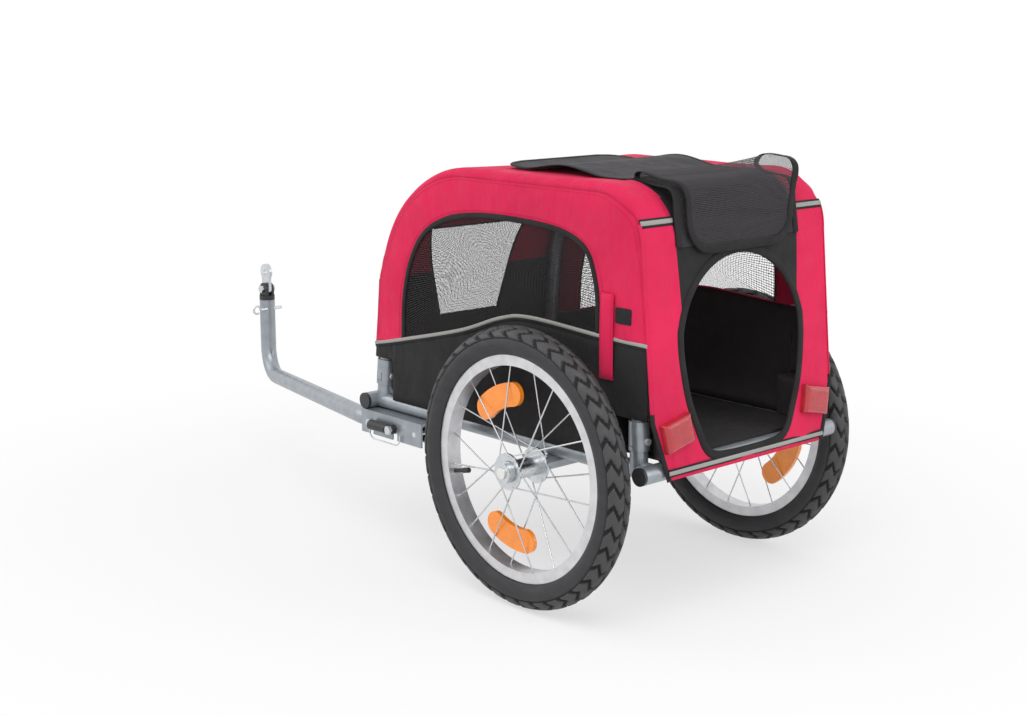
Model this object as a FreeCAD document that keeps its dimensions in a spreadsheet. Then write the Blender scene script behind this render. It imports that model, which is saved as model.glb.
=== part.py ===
import FreeCAD, Part
import math
import os
from FreeCAD import Placement, Rotation, Vector

# A two-wheeled cabin trailer for towing behind a cycle: a base of welded tubes, two hoops that
# plug into four corner sockets, a cloth cover with mesh windows and a rear door, two spoked
# wheels on plug-in axles, and a bent drawbar that swings in a channel under the left rail.
# Millimetres. +X is the way of travel, +Y the left side, +Z up; the ground is at Z = 0.

SIZES = {
    # Clearances and cutting lengths.
    "overrun": 2, "weld_gap": 0.1, "seat_gap": 0.05, "slide_gap": 0.3, "cloth_gap": 0.4,
    # Place of the wheel axle along the part.
    "axle_place": -352.21,
    # Wheels.
    "wheel_radius": 200, "tyre_section": 46, "tyre_wall": 2.5, "wheel_gap": 8,
    "rim_sink": 7, "rim_depth": 15, "rim_skin": 1.8, "bead_gap": 0.5,
    "tube_room": 2.5, "tube_skin": 1.2, "valve_radius": 3, "valve_reach": 44, "valve_cap": 12,
    "hub_length": 62, "hub_radius": 14, "flange_radius": 26, "flange_width": 3,
    "flange_margin": 5, "spoke_radius": 1.1,
    "reflector_margin": 25, "reflector_width": 34, "reflector_spread": 54,
    "bearing_radius": 12, "bearing_width": 8,
    "axle_radius": 6, "axle_grip": 55, "axle_head_radius": 15, "axle_head_width": 6,
    "push_radius": 8, "push_reach": 3, "push_seat": 2, "push_socket": 5,
    # Base of welded tubes.
    "frame_tube": 25, "frame_wall": 1.5, "rail_offset": 176,
    "cross_front": 400.5, "cross_rear": 192.6, "cross_overhang": 24, "end_cap_width": 4.4, "end_plug": 14,
    "beam_tube": 22, "beam_wall": 2, "beam_bite": 2, "floor_gap": 3.5, "floor_board": 5, "floor_margin": 11,
    # Hoops and the sockets that hold them.
    "leg_front": 384, "leg_rear": 166, "leg_lean": 5.5, "hoop_tube": 22, "hoop_wall": 1.5,
    "hoop_rise": 365, "hoop_front_radius": 190, "hoop_rear_radius": 70, "hoop_plug": 46,
    "sleeve_low": 28, "sleeve_high": 68, "sleeve_wall": 2, "socket_fit": 0.2,
    "tongue_width": 12, "tongue_height": 14, "tongue_slit": 1.3, "tongue_foot": 6,
    "snap_height": 41, "snap_radius": 4.5, "snap_reach": 3.5, "snap_flange": 5.6,
    "snap_flange_width": 1.4, "snap_inset": 6,
    "bar_tube": 16, "bar_wall": 1.2, "bar_inset": 22,
    # Cloth cover.
    "cloth": 1.5, "mesh_cloth": 0.8, "corner_height": 80, "corner_inset": 24, "skirt_foot": 7.5,
    "hem_drop": 10, "hem_inset": 25.4, "window_sill": 8, "window_gap": 0.3,
    "door_half_width": 126, "door_crown": 283.5, "door_waist": 178.5, "door_foot": 3,
    "strap_width": 26, "strap_length": 116, "strap_place": 48, "strap_lap": 62,
    "lamp_width": 55, "lamp_height": 42, "lamp_depth": 14, "lamp_inset": 41.4, "lamp_level": 52,
    "lamp_tilt": 12,
    # Mesh door, folded back over the roof's rear edge in four leaves.
    "leaf_width": 252, "leaf_cloth": 1.2, "leaf_fold_gap": 0.5, "leaf_layer": 1.5, "hinge_stand": 3,
    "leaf_top": 74, "leaf_roof": 66, "leaf_corner": 44, "leaf_tip_width": 216,
    # Rain flap, thrown forward over the roof.
    "flap_width": 235, "flap_length": 246, "flap_shift": 24, "flap_wave": 7, "flap_tail": 4,
    # Drawbar and its channel.
    "bar_out": 11, "bar_drop": 31.5, "draw_tube": 28, "draw_wall": 2, "draw_bend": 60,
    "pivot_place": 275, "draw_stub": 6, "draw_knee": 428, "hitch_place": 908, "hitch_offset": 43,
    "hitch_knee": 161, "hitch_bend": 48, "hitch_top": 300,
    "channel_back": 258, "channel_front": 406, "channel_drop": 49.5, "channel_plate": 3,
    "channel_room": 32,
    "bolt_radius": 4, "bolt_fit": 0.06, "nut_radius": 7.2, "nut_width": 5.5,
    "lock_place": 382, "stud_place": 324, "lever_eye": 7.5, "lever_width": 8,
    "grip_radius": 7, "grip_tip": 8, "grip_length": 44, "grip_start": 4,
    "wire_radius": 1.2, "wire_drop": 24, "wire_bend": 12, "wire_back": 306,
    # Hitch at the drawbar's upper end.
    "swivel_plug": 42, "groove_radius": 6, "groove_width": 9, "groove_level": 16,
    "collar_height": 8, "ear_width": 5, "ear_radius": 11, "pivot_rise": 12.3,
    "plate_width": 6, "plate_gap": 0.3, "axle_rise": 31, "plate_nose": 15, "axle_hole": 5.2,
    "pin_radius": 3, "pin_fit": 0.2, "pin_tail": 24, "pin_head": 22, "eye_radius": 7, "eye_wire": 1.8,
}

SPOKES_PER_FLANGE = 10
SPOKE_LEAN_DEG = 52
VALVE_ANGLE_DEG = -13
REFLECTOR_ANGLES_DEG = {"left": (63, -78), "right": (-145, 35)}
HALF_TURN_DEG = 180
QUARTER_TURN_DEG = 90

# Side outlines as shares of the cabin: first from the rear leg to the front leg,
# then from the ledge over the sockets to the top of the hoop.
wave_shares = ((0.113, 0.3315), (0.362, 0.3533), (0.476, 0.3212), (0.636, 0.2162), (0.895, 0.0933))
wave_rear_share = 0.3244
wave_front_share = 0.046
window_front_shares = ((0.885, 0.1266), (0.853, 0.5069), (0.695, 0.7913))
window_top_shares = ((0.695, 0.7913), (0.476, 0.8258), (0.229, 0.7913))
window_rear_shares = ((0.229, 0.7913), (0.153, 0.7067), (0.1255, 0.4877))
window_foot_share = (0.1236, 0.3315)
# The door's lower edge: shares of its half width and of its waist height.
door_flank_shares = ((0.95, 0.60), (0.76, 0.28))
door_heel_shares = ((0.66, 0.09), (0.44, 0.0))
# The rain flap's crests: shares of its length and of its wave height.
flap_crest_shares = ((0.0, 0.0), (0.25, 0.75), (0.5, 0.1), (0.75, 1.0), (1.0, 0.25))

UP = Vector(0, 0, 1)
AHEAD = Vector(1, 0, 0)
LEFT = Vector(0, 1, 0)
SIDES = {"left": 1, "right": -1}

doc = FreeCAD.newDocument("cabin_trailer")
sheet = doc.addObject("Spreadsheet::Sheet", "size")
for row, (alias, value) in enumerate(SIZES.items(), start=1):
    sheet.set(f"A{row}", alias)
    sheet.set(f"B{row}", str(value))
    sheet.setAlias(f"B{row}", alias)
doc.recompute()


class Sheet:
    """The sheet's values as plain attributes."""

    def __getattr__(self, alias):
        return float(sheet.get(alias))


v = Sheet()
nodes = []


def cells(text):
    """An expression with each sheet alias written out as a cell of the sheet."""
    words = []
    for word in text.split():
        words.append(f"size.{word}" if word in SIZES else word)
    return " ".join(words)


def node(thing):
    """Mark an object as a sub-part that is written out under its label."""
    nodes.append(thing)
    return thing


def cylinder(name, radius, height, base=Vector(), axis=UP):
    """A cylinder from a base point along an axis; its sizes are expressions."""
    thing = doc.addObject("Part::Cylinder", name)
    thing.setExpression("Radius", cells(radius))
    thing.setExpression("Height", cells(height))
    thing.Placement = Placement(base, Rotation(UP, axis))
    return thing


def box(name, length, width, height, corner, turn=Rotation()):
    """A box from its low corner; its sizes are expressions."""
    thing = doc.addObject("Part::Box", name)
    for side, text in (("Length", length), ("Width", width), ("Height", height)):
        thing.setExpression(side, cells(text))
    thing.Placement = Placement(corner, turn)
    return thing


def torus(name, ring, section, centre, axis):
    """A ring about an axis; its sizes are expressions."""
    thing = doc.addObject("Part::Torus", name)
    thing.setExpression("Radius1", cells(ring))
    thing.setExpression("Radius2", cells(section))
    thing.Placement = Placement(centre, Rotation(UP, axis))
    return thing


def fuse(name, *things):
    """One solid from several."""
    thing = doc.addObject("Part::MultiFuse", name)
    thing.Shapes = list(things)
    return thing


def group(name, *things):
    """Several solids under one name."""
    thing = doc.addObject("Part::Compound", name)
    thing.Links = list(things)
    return thing


def cut(name, base, *tools):
    """A solid with others taken out of it."""
    thing = doc.addObject("Part::Cut", name)
    thing.Base = base
    thing.Tool = tools[0] if len(tools) == 1 else fuse(name + "_tools", *tools)
    return thing


def feature(name, shape):
    """A shape worked out from the sheet's values."""
    thing = doc.addObject("Part::Feature", name)
    thing.Shape = shape
    return thing


def sweep(name, path, radius):
    """A round bar along a path feature; its radius is an expression."""
    start = path.Shape.Edges[0]
    ring = doc.addObject("Part::Circle", name + "_ring")
    ring.setExpression("Radius", cells(radius))
    first = start.FirstParameter
    ring.Placement = Placement(start.valueAt(first), Rotation(UP, start.tangentAt(first)))
    thing = doc.addObject("Part::Sweep", name)
    thing.Sections = [ring]
    thing.Spine = (path, [f"Edge{i}" for i in range(1, len(path.Shape.Edges) + 1)])
    thing.Solid = True
    return thing


def straight_tube(name, diameter, wall, length, base, axis):
    """A round tube with open ends."""
    outside = cylinder(name + "_outside", f"{diameter} / 2", length, base, axis)
    bore = cylinder(name + "_bore", f"{diameter} / 2 - {wall}", f"{length} + 2 * overrun",
                    base - axis * v.overrun, axis)
    return cut(name, outside, bore)


def arc(centre, radius, start_deg, end_deg):
    """An arc in an upright plane along the part, by angles from +X towards +Z."""
    def point(angle_deg):
        turn = math.radians(angle_deg)
        return centre + Vector(radius * math.cos(turn), 0, radius * math.sin(turn))
    return Part.Arc(point(start_deg), point((start_deg + end_deg) / 2), point(end_deg)).toShape()


def line(start, end):
    """A straight edge."""
    return Part.LineSegment(start, end).toShape()


def bow(points):
    """An arc through three points."""
    return Part.Arc(*points).toShape()


def spline(points):
    """A smooth curve through points."""
    curve = Part.BSplineCurve()
    curve.interpolate(list(points))
    return curve.toShape()


def slab(outline, thickness):
    """A flat sheet from a closed outline, thickened along a vector."""
    return Part.Face(Part.Wire(Part.__sortEdges__(outline))).extrude(thickness)


def chain(points):
    """Straight edges through points, closed."""
    return [line(a, b) for a, b in zip(points, points[1:] + points[:1])]


def rounded_path(points, radii):
    """Straight runs joined by tangent arcs at the inner points."""
    edges = []
    start = points[0]
    for before, corner, after, radius in zip(points, points[1:], points[2:], radii):
        back = (before - corner).normalize()
        on = (after - corner).normalize()
        half = back.getAngle(on) / 2
        setback = radius / math.tan(half)
        middle = (back + on).normalize()
        crest = corner + middle * (radius / math.sin(half) - radius)
        edges.append(line(start, corner + back * setback))
        edges.append(Part.Arc(corner + back * setback, crest, corner + on * setback).toShape())
        start = corner + on * setback
    edges.append(line(start, points[-1]))
    return Part.Wire(edges)


AXLE = Vector(v.axle_place, 0, v.wheel_radius)
FRONT_X = v.axle_place + v.cross_front
REAR_X = v.axle_place - v.cross_rear
LEG_FRONT_X = v.axle_place + v.leg_front
LEG_REAR_X = v.axle_place - v.leg_rear
TUBE_RADIUS = v.frame_tube / 2
# The rails sit in the axle beam's copes, so their height follows from the wheels.
RAIL_Z = v.wheel_radius + TUBE_RADIUS + v.beam_tube / 2 - v.beam_bite
HOOP_Z = RAIL_Z + v.hoop_rise
LEDGE_Z = RAIL_Z + v.corner_height
BAR_Z = RAIL_Z - v.bar_drop
CHANNEL_LOW = RAIL_Z - v.channel_drop
CROSS_REACH = v.rail_offset + v.cross_overhang
BAR_Y = v.rail_offset + v.bar_out
# The wheels stand clear of the cross tubes' caps, the reflectors clear of the rims.
WHEEL_Y = CROSS_REACH + v.end_cap_width + v.wheel_gap + v.tyre_section / 2
RIM_EDGE = v.wheel_radius - v.tyre_section + v.rim_sink
REFLECTOR_OUTER = RIM_EDGE - v.rim_depth - v.reflector_margin
REFLECTOR_INNER = REFLECTOR_OUTER - v.reflector_width
FLOOR_HALF = v.rail_offset - TUBE_RADIUS - v.sleeve_wall - v.floor_gap
LEAN = math.radians(v.leg_lean)
LEG_UP = {"front": Vector(-math.sin(LEAN), 0, math.cos(LEAN)), "rear": UP}
LEG_X = {"front": LEG_FRONT_X, "rear": LEG_REAR_X}


def base_frame():
    """The welded base: two rails, two cross tubes with plugged ends, and the axle beam."""
    for place, x in (("front", FRONT_X), ("rear", REAR_X)):
        node(straight_tube(f"{place}_cross_tube", "frame_tube", "frame_wall",
                           "2 * rail_offset + 2 * cross_overhang",
                           Vector(x, -CROSS_REACH, RAIL_Z), LEFT))
    rails = []
    for side, sign in SIDES.items():
        start = Vector(REAR_X, sign * v.rail_offset, RAIL_Z)
        rail = straight_tube(f"side_rail_{side}_blank", "frame_tube", "frame_wall",
                             "cross_front + cross_rear", start, AHEAD)
        copes = []
        for place, x in (("front", FRONT_X), ("rear", REAR_X)):
            copes.append(cylinder(f"rail_{side}_{place}_cope", "frame_tube / 2 + weld_gap",
                                  "frame_tube * 2",
                                  Vector(x, start.y - v.frame_tube, RAIL_Z), LEFT))
        rails.append(cut(f"side_rail_{side}", rail, *copes))
    node(group("side_rails", *rails))
    caps = []
    for place, x in (("front", FRONT_X), ("rear", REAR_X)):
        for side, sign in SIDES.items():
            end = Vector(x, sign * CROSS_REACH, RAIL_Z)
            head = cylinder(f"cap_{place}_{side}_head", "frame_tube / 2", "end_cap_width", end, LEFT * sign)
            plug = cylinder(f"cap_{place}_{side}_plug", "frame_tube / 2 - frame_wall - seat_gap",
                            "end_plug",
                            end, LEFT * -sign)
            caps.append(fuse(f"cap_{place}_{side}", head, plug))
    node(group("tube_end_caps", *caps))


def beam_half_length():
    """The axle beam ends just short of the hubs."""
    return WHEEL_Y - v.hub_length / 2 - 2 * v.slide_gap


def axle_beam():
    """The tube under the rails that carries both plug-in axles."""
    half = beam_half_length()
    outside = feature("axle_beam_outside", Part.makeCylinder(
        v.beam_tube / 2, 2 * half, Vector(AXLE.x, -half, AXLE.z), LEFT))
    middle = 2 * (half - v.axle_grip - v.overrun)
    tools = [feature("axle_beam_bore", Part.makeCylinder(
        v.beam_tube / 2 - v.beam_wall, middle, Vector(AXLE.x, -middle / 2, AXLE.z), LEFT))]
    for side, sign in SIDES.items():
        tools.append(cylinder(f"axle_socket_{side}", "axle_radius + seat_gap", "axle_grip + 3 * overrun",
                              Vector(AXLE.x, sign * (half + v.overrun), AXLE.z), LEFT * -sign))
        tools.append(cylinder(f"beam_cope_{side}", "frame_tube / 2 + weld_gap", "frame_tube * 2",
                              Vector(AXLE.x - v.frame_tube, sign * v.rail_offset, RAIL_Z), AHEAD))
    node(cut("axle_beam", outside, *tools))


def socket(place, side, sign):
    """A corner socket: a stub on the rail with a slit sleeve, and its sprung snap button."""
    up = LEG_UP[place]
    foot = Vector(LEG_X[place], sign * v.rail_offset, RAIL_Z)
    lean = Rotation(UP, up)
    name = f"socket_{place}_{side}"
    stub = cylinder(name + "_stub", "frame_tube / 2", "sleeve_high", foot, up)
    sleeve = cylinder(name + "_sleeve", "frame_tube / 2 + sleeve_wall", "sleeve_high - sleeve_low",
                      foot + up * v.sleeve_low, up)
    plug_foot = foot + up * (v.sleeve_high - v.hoop_plug)
    bore = cylinder(name + "_bore", "hoop_tube / 2 + socket_fit", "hoop_plug + overrun", plug_foot, up)
    rail = cylinder(name + "_rail", "frame_tube / 2 + weld_gap", "frame_tube * 4",
                    foot - AHEAD * 2 * v.frame_tube, AHEAD)
    cross_x = FRONT_X if place == "front" else REAR_X
    cross = cylinder(name + "_cross", "frame_tube / 2 + weld_gap", "frame_tube * 4",
                     Vector(cross_x, foot.y - 2 * v.frame_tube, RAIL_Z), LEFT)
    snap = foot + up * v.snap_height
    hole = cylinder(name + "_hole", "snap_radius + slide_gap", "frame_tube", snap, AHEAD * -1)
    # The slit round the spring tongue, on the outer face of the sleeve.
    depth = TUBE_RADIUS + v.slide_gap
    low = v.sleeve_low + v.tongue_foot
    near_y = depth if sign > 0 else -depth - v.sleeve_wall - v.overrun
    corners = ((-v.tongue_width / 2, "tongue_slit", "tongue_height"),
               (v.tongue_width / 2 - v.tongue_slit, "tongue_slit", "tongue_height"),
               (-v.tongue_width / 2, "tongue_width", "tongue_slit"))
    slits = []
    for index, (along, length, height) in enumerate(corners):
        corner = foot + lean.multVec(Vector(along, near_y, low))
        slits.append(box(f"{name}_slit_{index}", length, "sleeve_wall + overrun", height, corner, lean))
    node(cut(name, fuse(name + "_blank", stub, sleeve), bore, rail, cross, hole, *slits))

    reach = "frame_tube / 2 + sleeve_wall + snap_reach - snap_inset"
    stem = cylinder(f"snap_{place}_{side}_stem", "snap_radius", reach,
                    snap - AHEAD * v.snap_inset, AHEAD * -1)
    flange = cylinder(f"snap_{place}_{side}_flange", "snap_flange", "snap_flange_width",
                      snap - AHEAD * v.snap_inset, AHEAD * -1)
    node(fuse(f"snap_button_{place}_{side}", stem, flange))


class Hoop:
    """The hoop's centre line seen from the side: a leaning leg, two bends and an upright leg."""

    def __init__(self):
        centre_z = HOOP_Z - v.hoop_front_radius
        bend_z = centre_z + v.hoop_front_radius * math.sin(LEAN)
        bend_x = LEG_FRONT_X - (bend_z - RAIL_Z) * math.tan(LEAN)
        self.front_centre = Vector(bend_x - v.hoop_front_radius * math.cos(LEAN), 0, centre_z)
        self.rear_centre = Vector(LEG_REAR_X + v.hoop_rear_radius, 0, HOOP_Z - v.hoop_rear_radius)

    def roof_edges(self, offset):
        """The bends and the top run, moved outwards by an offset, from front to rear."""
        front = v.hoop_front_radius + offset
        rear = v.hoop_rear_radius + offset
        return [arc(self.front_centre, front, v.leg_lean, QUARTER_TURN_DEG),
                line(self.front_centre + UP * front, self.rear_centre + UP * rear),
                arc(self.rear_centre, rear, QUARTER_TURN_DEG, HALF_TURN_DEG)]

    def front_point(self, height, offset):
        """A point on the leaning front edge at a height, moved outwards by an offset."""
        x = LEG_FRONT_X - (height - RAIL_Z) * math.tan(LEAN) + offset / math.cos(LEAN)
        return Vector(x, 0, height)


hoop = Hoop()
# The cover's inner and outer faces, measured from the hoop's centre line.
LINING = v.hoop_tube / 2 + v.cloth_gap
SKIN = LINING + v.cloth
SIDE_Y = v.rail_offset + LINING


def hoops():
    """Two bent hoops that plug into the sockets, and the bars that hold them apart."""
    plug = v.sleeve_high - v.hoop_plug + v.overrun
    for side, sign in SIDES.items():
        front_foot = Vector(LEG_FRONT_X, 0, RAIL_Z) + LEG_UP["front"] * plug
        rear_foot = Vector(LEG_REAR_X, 0, RAIL_Z + plug)
        bends = hoop.roof_edges(0)
        first = bends[0].Vertexes[0].Point
        last = bends[-1].Vertexes[-1].Point
        wire = Part.Wire([line(front_foot, first)] + bends + [line(last, rear_foot)])
        wire.translate(LEFT * sign * v.rail_offset)
        path = feature(f"hoop_{side}_path", wire)
        name = f"hoop_{side}"
        holes = []
        for place in ("front", "rear"):
            snap = Vector(LEG_X[place], sign * v.rail_offset, RAIL_Z) + LEG_UP[place] * v.snap_height
            holes.append(cylinder(f"{name}_{place}_hole", "snap_radius + slide_gap", "hoop_tube",
                                  snap, AHEAD * -1))
        outside = sweep(name + "_outside", path, "hoop_tube / 2")
        bore = sweep(name + "_bore", path, "hoop_tube / 2 - hoop_wall")
        node(cut(name, outside, bore, *holes))
    bars = []
    bar_places = {"front": hoop.front_centre.x - v.bar_inset, "rear": hoop.rear_centre.x + v.bar_inset}
    for place, x in bar_places.items():
        bar = straight_tube(f"roof_bar_{place}_blank", "bar_tube", "bar_wall", "2 * rail_offset",
                            Vector(x, -v.rail_offset, HOOP_Z), LEFT)
        copes = []
        for side, sign in SIDES.items():
            copes.append(cylinder(f"roof_bar_{place}_{side}_cope", "hoop_tube / 2 + weld_gap",
                                  "4 * bar_tube",
                                  Vector(x - 2 * v.bar_tube, sign * v.rail_offset, HOOP_Z), AHEAD))
        bars.append(cut(f"roof_bar_{place}", bar, *copes))
    node(group("roof_bars", *bars))


def floor():
    """The stiff floor board that lies on the cross tubes."""
    corner = Vector(REAR_X, -FLOOR_HALF, RAIL_Z + TUBE_RADIUS + v.weld_gap)
    node(box("floor_board", "cross_front + cross_rear - floor_margin",
             "2 * rail_offset - frame_tube - 2 * sleeve_wall - 2 * floor_gap", "floor_board", corner))


# The cabin's rear wall leans out from the hoops down to the rear cross tube.
REAR_TOP = Vector(LEG_REAR_X - SKIN, 0, HOOP_Z - v.hoop_rear_radius)
REAR_FOOT = Vector(REAR_X - TUBE_RADIUS - v.cloth_gap - v.cloth, 0, RAIL_Z)
REAR_UP = (REAR_TOP - REAR_FOOT).normalize()
REAR_OUT = Vector(-REAR_UP.z, 0, REAR_UP.x)


def rear_point(height, across=0.0, out=0.0):
    """A point of the rear wall's outer face at a height, across the part and out from the face."""
    along = (height - REAR_FOOT.z) / REAR_UP.z
    return REAR_FOOT + REAR_UP * along + LEFT * across + REAR_OUT * out


def side_point(share):
    """A point of the side outline from its shares of the cabin's length and height."""
    return Vector(LEG_REAR_X + share[0] * (LEG_FRONT_X - LEG_REAR_X), 0,
                  LEDGE_Z + share[1] * (HOOP_Z - LEDGE_Z))


def side_walls():
    """Both sides of the cover: the frames above the wave seam, the mesh windows and the skirts below."""
    wave_rear = rear_point(side_point((0, wave_rear_share)).z)
    wave_front = hoop.front_point(side_point((1, wave_front_share)).z, SKIN)
    wave = spline([wave_rear] + [side_point(share) for share in wave_shares] + [wave_front])
    roof = hoop.roof_edges(SKIN)
    roof_front = roof[0].Vertexes[0].Point
    roof_rear = roof[-1].Vertexes[-1].Point
    frame_outline = [wave, line(wave_front, roof_front)] + roof + [line(roof_rear, wave_rear)]
    sill = [side_point(share) + UP * v.window_sill for share in wave_shares[1:4]]
    foot = side_point(window_foot_share) + UP * v.window_sill
    bows = [bow([side_point(share) for share in shares])
            for shares in (window_front_shares, window_top_shares, window_rear_shares)]
    window_front = side_point(window_front_shares[0])
    window_rear = side_point(window_rear_shares[-1])
    window_outline = bows + [line(window_rear, foot), spline([foot] + sill + [window_front])]
    thickness = LEFT * v.cloth
    frame = slab(frame_outline, thickness).cut(slab(window_outline, thickness))
    mesh = slab(window_outline, LEFT * v.mesh_cloth)
    window_box = mesh.BoundBox
    middle = Vector(window_box.Center.x, 0, window_box.Center.z)
    mesh = mesh.scaled(1 - 2 * v.window_gap / window_box.ZLength, middle)
    # The skirt is cut back round the two sockets.
    ledge = LEDGE_Z
    skirt_low = RAIL_Z + v.skirt_foot
    inset_front = LEG_FRONT_X - v.corner_inset
    inset_rear = LEG_REAR_X + v.corner_inset
    points = [wave_rear, rear_point(ledge), Vector(inset_rear, 0, ledge), Vector(inset_rear, 0, skirt_low),
              Vector(inset_front, 0, skirt_low), Vector(inset_front, 0, ledge),
              hoop.front_point(ledge, SKIN), wave_front]
    skirt_outline = [line(a, b) for a, b in zip(points, points[1:])]
    skirt = slab(skirt_outline + [wave], thickness)
    for name, shape in (("side_frame", frame), ("window_pane", mesh), ("side_skirt", skirt)):
        left = feature(f"{name}_left", shape)
        left.Placement = Placement(LEFT * SIDE_Y, Rotation())
        right = doc.addObject("Part::Mirroring", f"{name}_right")
        right.Source = left
        right.Normal = LEFT
        node(group(f"{name}s", left, right))


# Half the front window's width as a share of the side wall's place, and its level as a share of the
# hoop's rise: at its foot on the front wall and at its top on the front bend.
front_window_shares = ((0.336, 0.325), (0.550, 0.740))


def window_prism(inset):
    """A block that fills the front window, smaller all round by an inset."""
    (foot_share, low_share), (top_share, high_share) = front_window_shares
    start = hoop.front_centre.x
    low = RAIL_Z + low_share * v.hoop_rise + inset
    high = RAIL_Z + high_share * v.hoop_rise - inset
    foot = foot_share * SIDE_Y - inset
    top = top_share * SIDE_Y - inset
    outline = chain([Vector(start, foot, low), Vector(start, top, high),
                     Vector(start, -top, high), Vector(start, -foot, low)])
    return Part.Face(Part.Wire(outline)).extrude(AHEAD * 2 * v.hoop_front_radius)


def roof_band(low, high, half):
    """A band over both bends between two offsets from the hoop's centre line."""
    outer = hoop.roof_edges(high)
    inner = hoop.roof_edges(low)
    ends = [line(edges_out.Vertexes[at].Point, edges_in.Vertexes[at].Point)
            for edges_out, edges_in, at in ((outer[0], inner[0], 0), (outer[-1], inner[-1], -1))]
    face = Part.Face(Part.Wire(Part.__sortEdges__(outer + inner + ends)))
    band = face.extrude(LEFT * 2 * half)
    band.translate(LEFT * -half)
    return band


def roof_and_front():
    """The roof band over both bends, the front wall, and the mesh window that crosses their seam."""
    half = SIDE_Y - v.weld_gap
    opening = window_prism(0)
    node(feature("roof_cover", roof_band(LINING, SKIN, half).cut(opening)))

    up = LEG_UP["front"]
    foot = hoop.front_point(RAIL_Z, LINING) + up * (TUBE_RADIUS + v.cloth_gap)
    seam = hoop.roof_edges(LINING)[0].Vertexes[0].Point
    rise = (seam - foot).Length
    top = rise - v.cloth_gap
    ledge = v.corner_height
    narrow = FLOOR_HALF
    outline = [Vector(narrow, 0), Vector(narrow, ledge), Vector(half, ledge), Vector(half, top),
               Vector(-half, top), Vector(-half, ledge), Vector(-narrow, ledge), Vector(-narrow, 0)]
    place = Placement(foot, Rotation(LEFT, up, LEFT.cross(up), "XYZ"))
    wall = slab(chain(outline), UP * v.cloth)
    wall.Placement = place
    node(feature("front_wall", wall.cut(opening)))

    corners = [Vector(half, 0), Vector(half, rise), Vector(-half, rise), Vector(-half, 0)]
    lower = slab(chain(corners), UP * v.mesh_cloth)
    lower.Placement = place
    upper = roof_band(LINING, LINING + v.mesh_cloth, half)
    node(feature("front_window_mesh", upper.fuse(lower).common(window_prism(v.window_gap)).removeSplitter()))


def rear_wall():
    """The rear wall with its egg-shaped door mouth, drawn in its own leaning plane."""
    half = SIDE_Y - v.weld_gap
    top = (REAR_TOP - REAR_FOOT).Length - v.weld_gap
    ledge = v.corner_height
    hem = SIDE_Y - v.hem_inset
    outline = [Vector(hem, -v.hem_drop), Vector(half, ledge), Vector(half, top),
               Vector(-half, top), Vector(-half, ledge), Vector(-hem, -v.hem_drop)]
    wide = v.door_half_width
    crown = Part.Arc(Vector(wide, v.door_waist), Vector(0, v.door_crown),
                     Vector(-wide, v.door_waist)).toShape()
    reach = v.door_waist - v.door_foot
    edges = [crown]
    flanks = {}
    for sign in SIDES.values():
        flank = [Vector(sign * wide, v.door_waist)]
        for wide_share, high_share in door_flank_shares:
            flank.append(Vector(sign * wide_share * wide, v.door_foot + high_share * reach))
        heel = [flank[-1]]
        for wide_share, high_share in door_heel_shares:
            heel.append(Vector(sign * wide_share * wide, v.door_foot + high_share * reach))
        edges += [bow(flank), bow(heel)]
        flanks[sign] = heel[-1]
    edges.append(line(flanks[1], flanks[-1]))
    thickness = UP * -v.cloth
    wall = slab(chain(outline), thickness).cut(slab(edges, thickness))
    thing = node(feature("rear_wall", wall))
    thing.Placement = Placement(REAR_FOOT, Rotation(LEFT * -1, REAR_UP, REAR_OUT, "XYZ"))


def trim():
    """The straps on the side walls and the two red reflectors on the rear wall."""
    straps = []
    for side, sign in SIDES.items():
        y = sign * (SIDE_Y + v.cloth + v.weld_gap)
        low_y = y if sign > 0 else y - v.cloth
        corner = Vector(LEG_REAR_X + v.strap_place - v.strap_width / 2, low_y,
                        side_point((0, wave_rear_share)).z + v.strap_lap - v.strap_length)
        straps.append(box(f"side_strap_{side}", "strap_width", "cloth", "strap_length", corner))
    node(group("side_straps", *straps))
    lamps = []
    for side, sign in SIDES.items():
        tilt = Rotation(UP, -sign * v.lamp_tilt)
        turn = Rotation(LEFT * -1, REAR_UP, REAR_OUT, "XYZ")
        spin = turn.multiply(tilt)
        centre = rear_point(RAIL_Z + v.lamp_level, sign * (SIDE_Y - v.lamp_inset), v.weld_gap)
        corner = centre - spin.multVec(Vector(v.lamp_width / 2, v.lamp_height / 2, 0))
        lamps.append(box(f"rear_lamp_{side}", "lamp_width", "lamp_height", "lamp_depth", corner, spin))
    node(group("rear_reflectors", *lamps))


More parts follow.
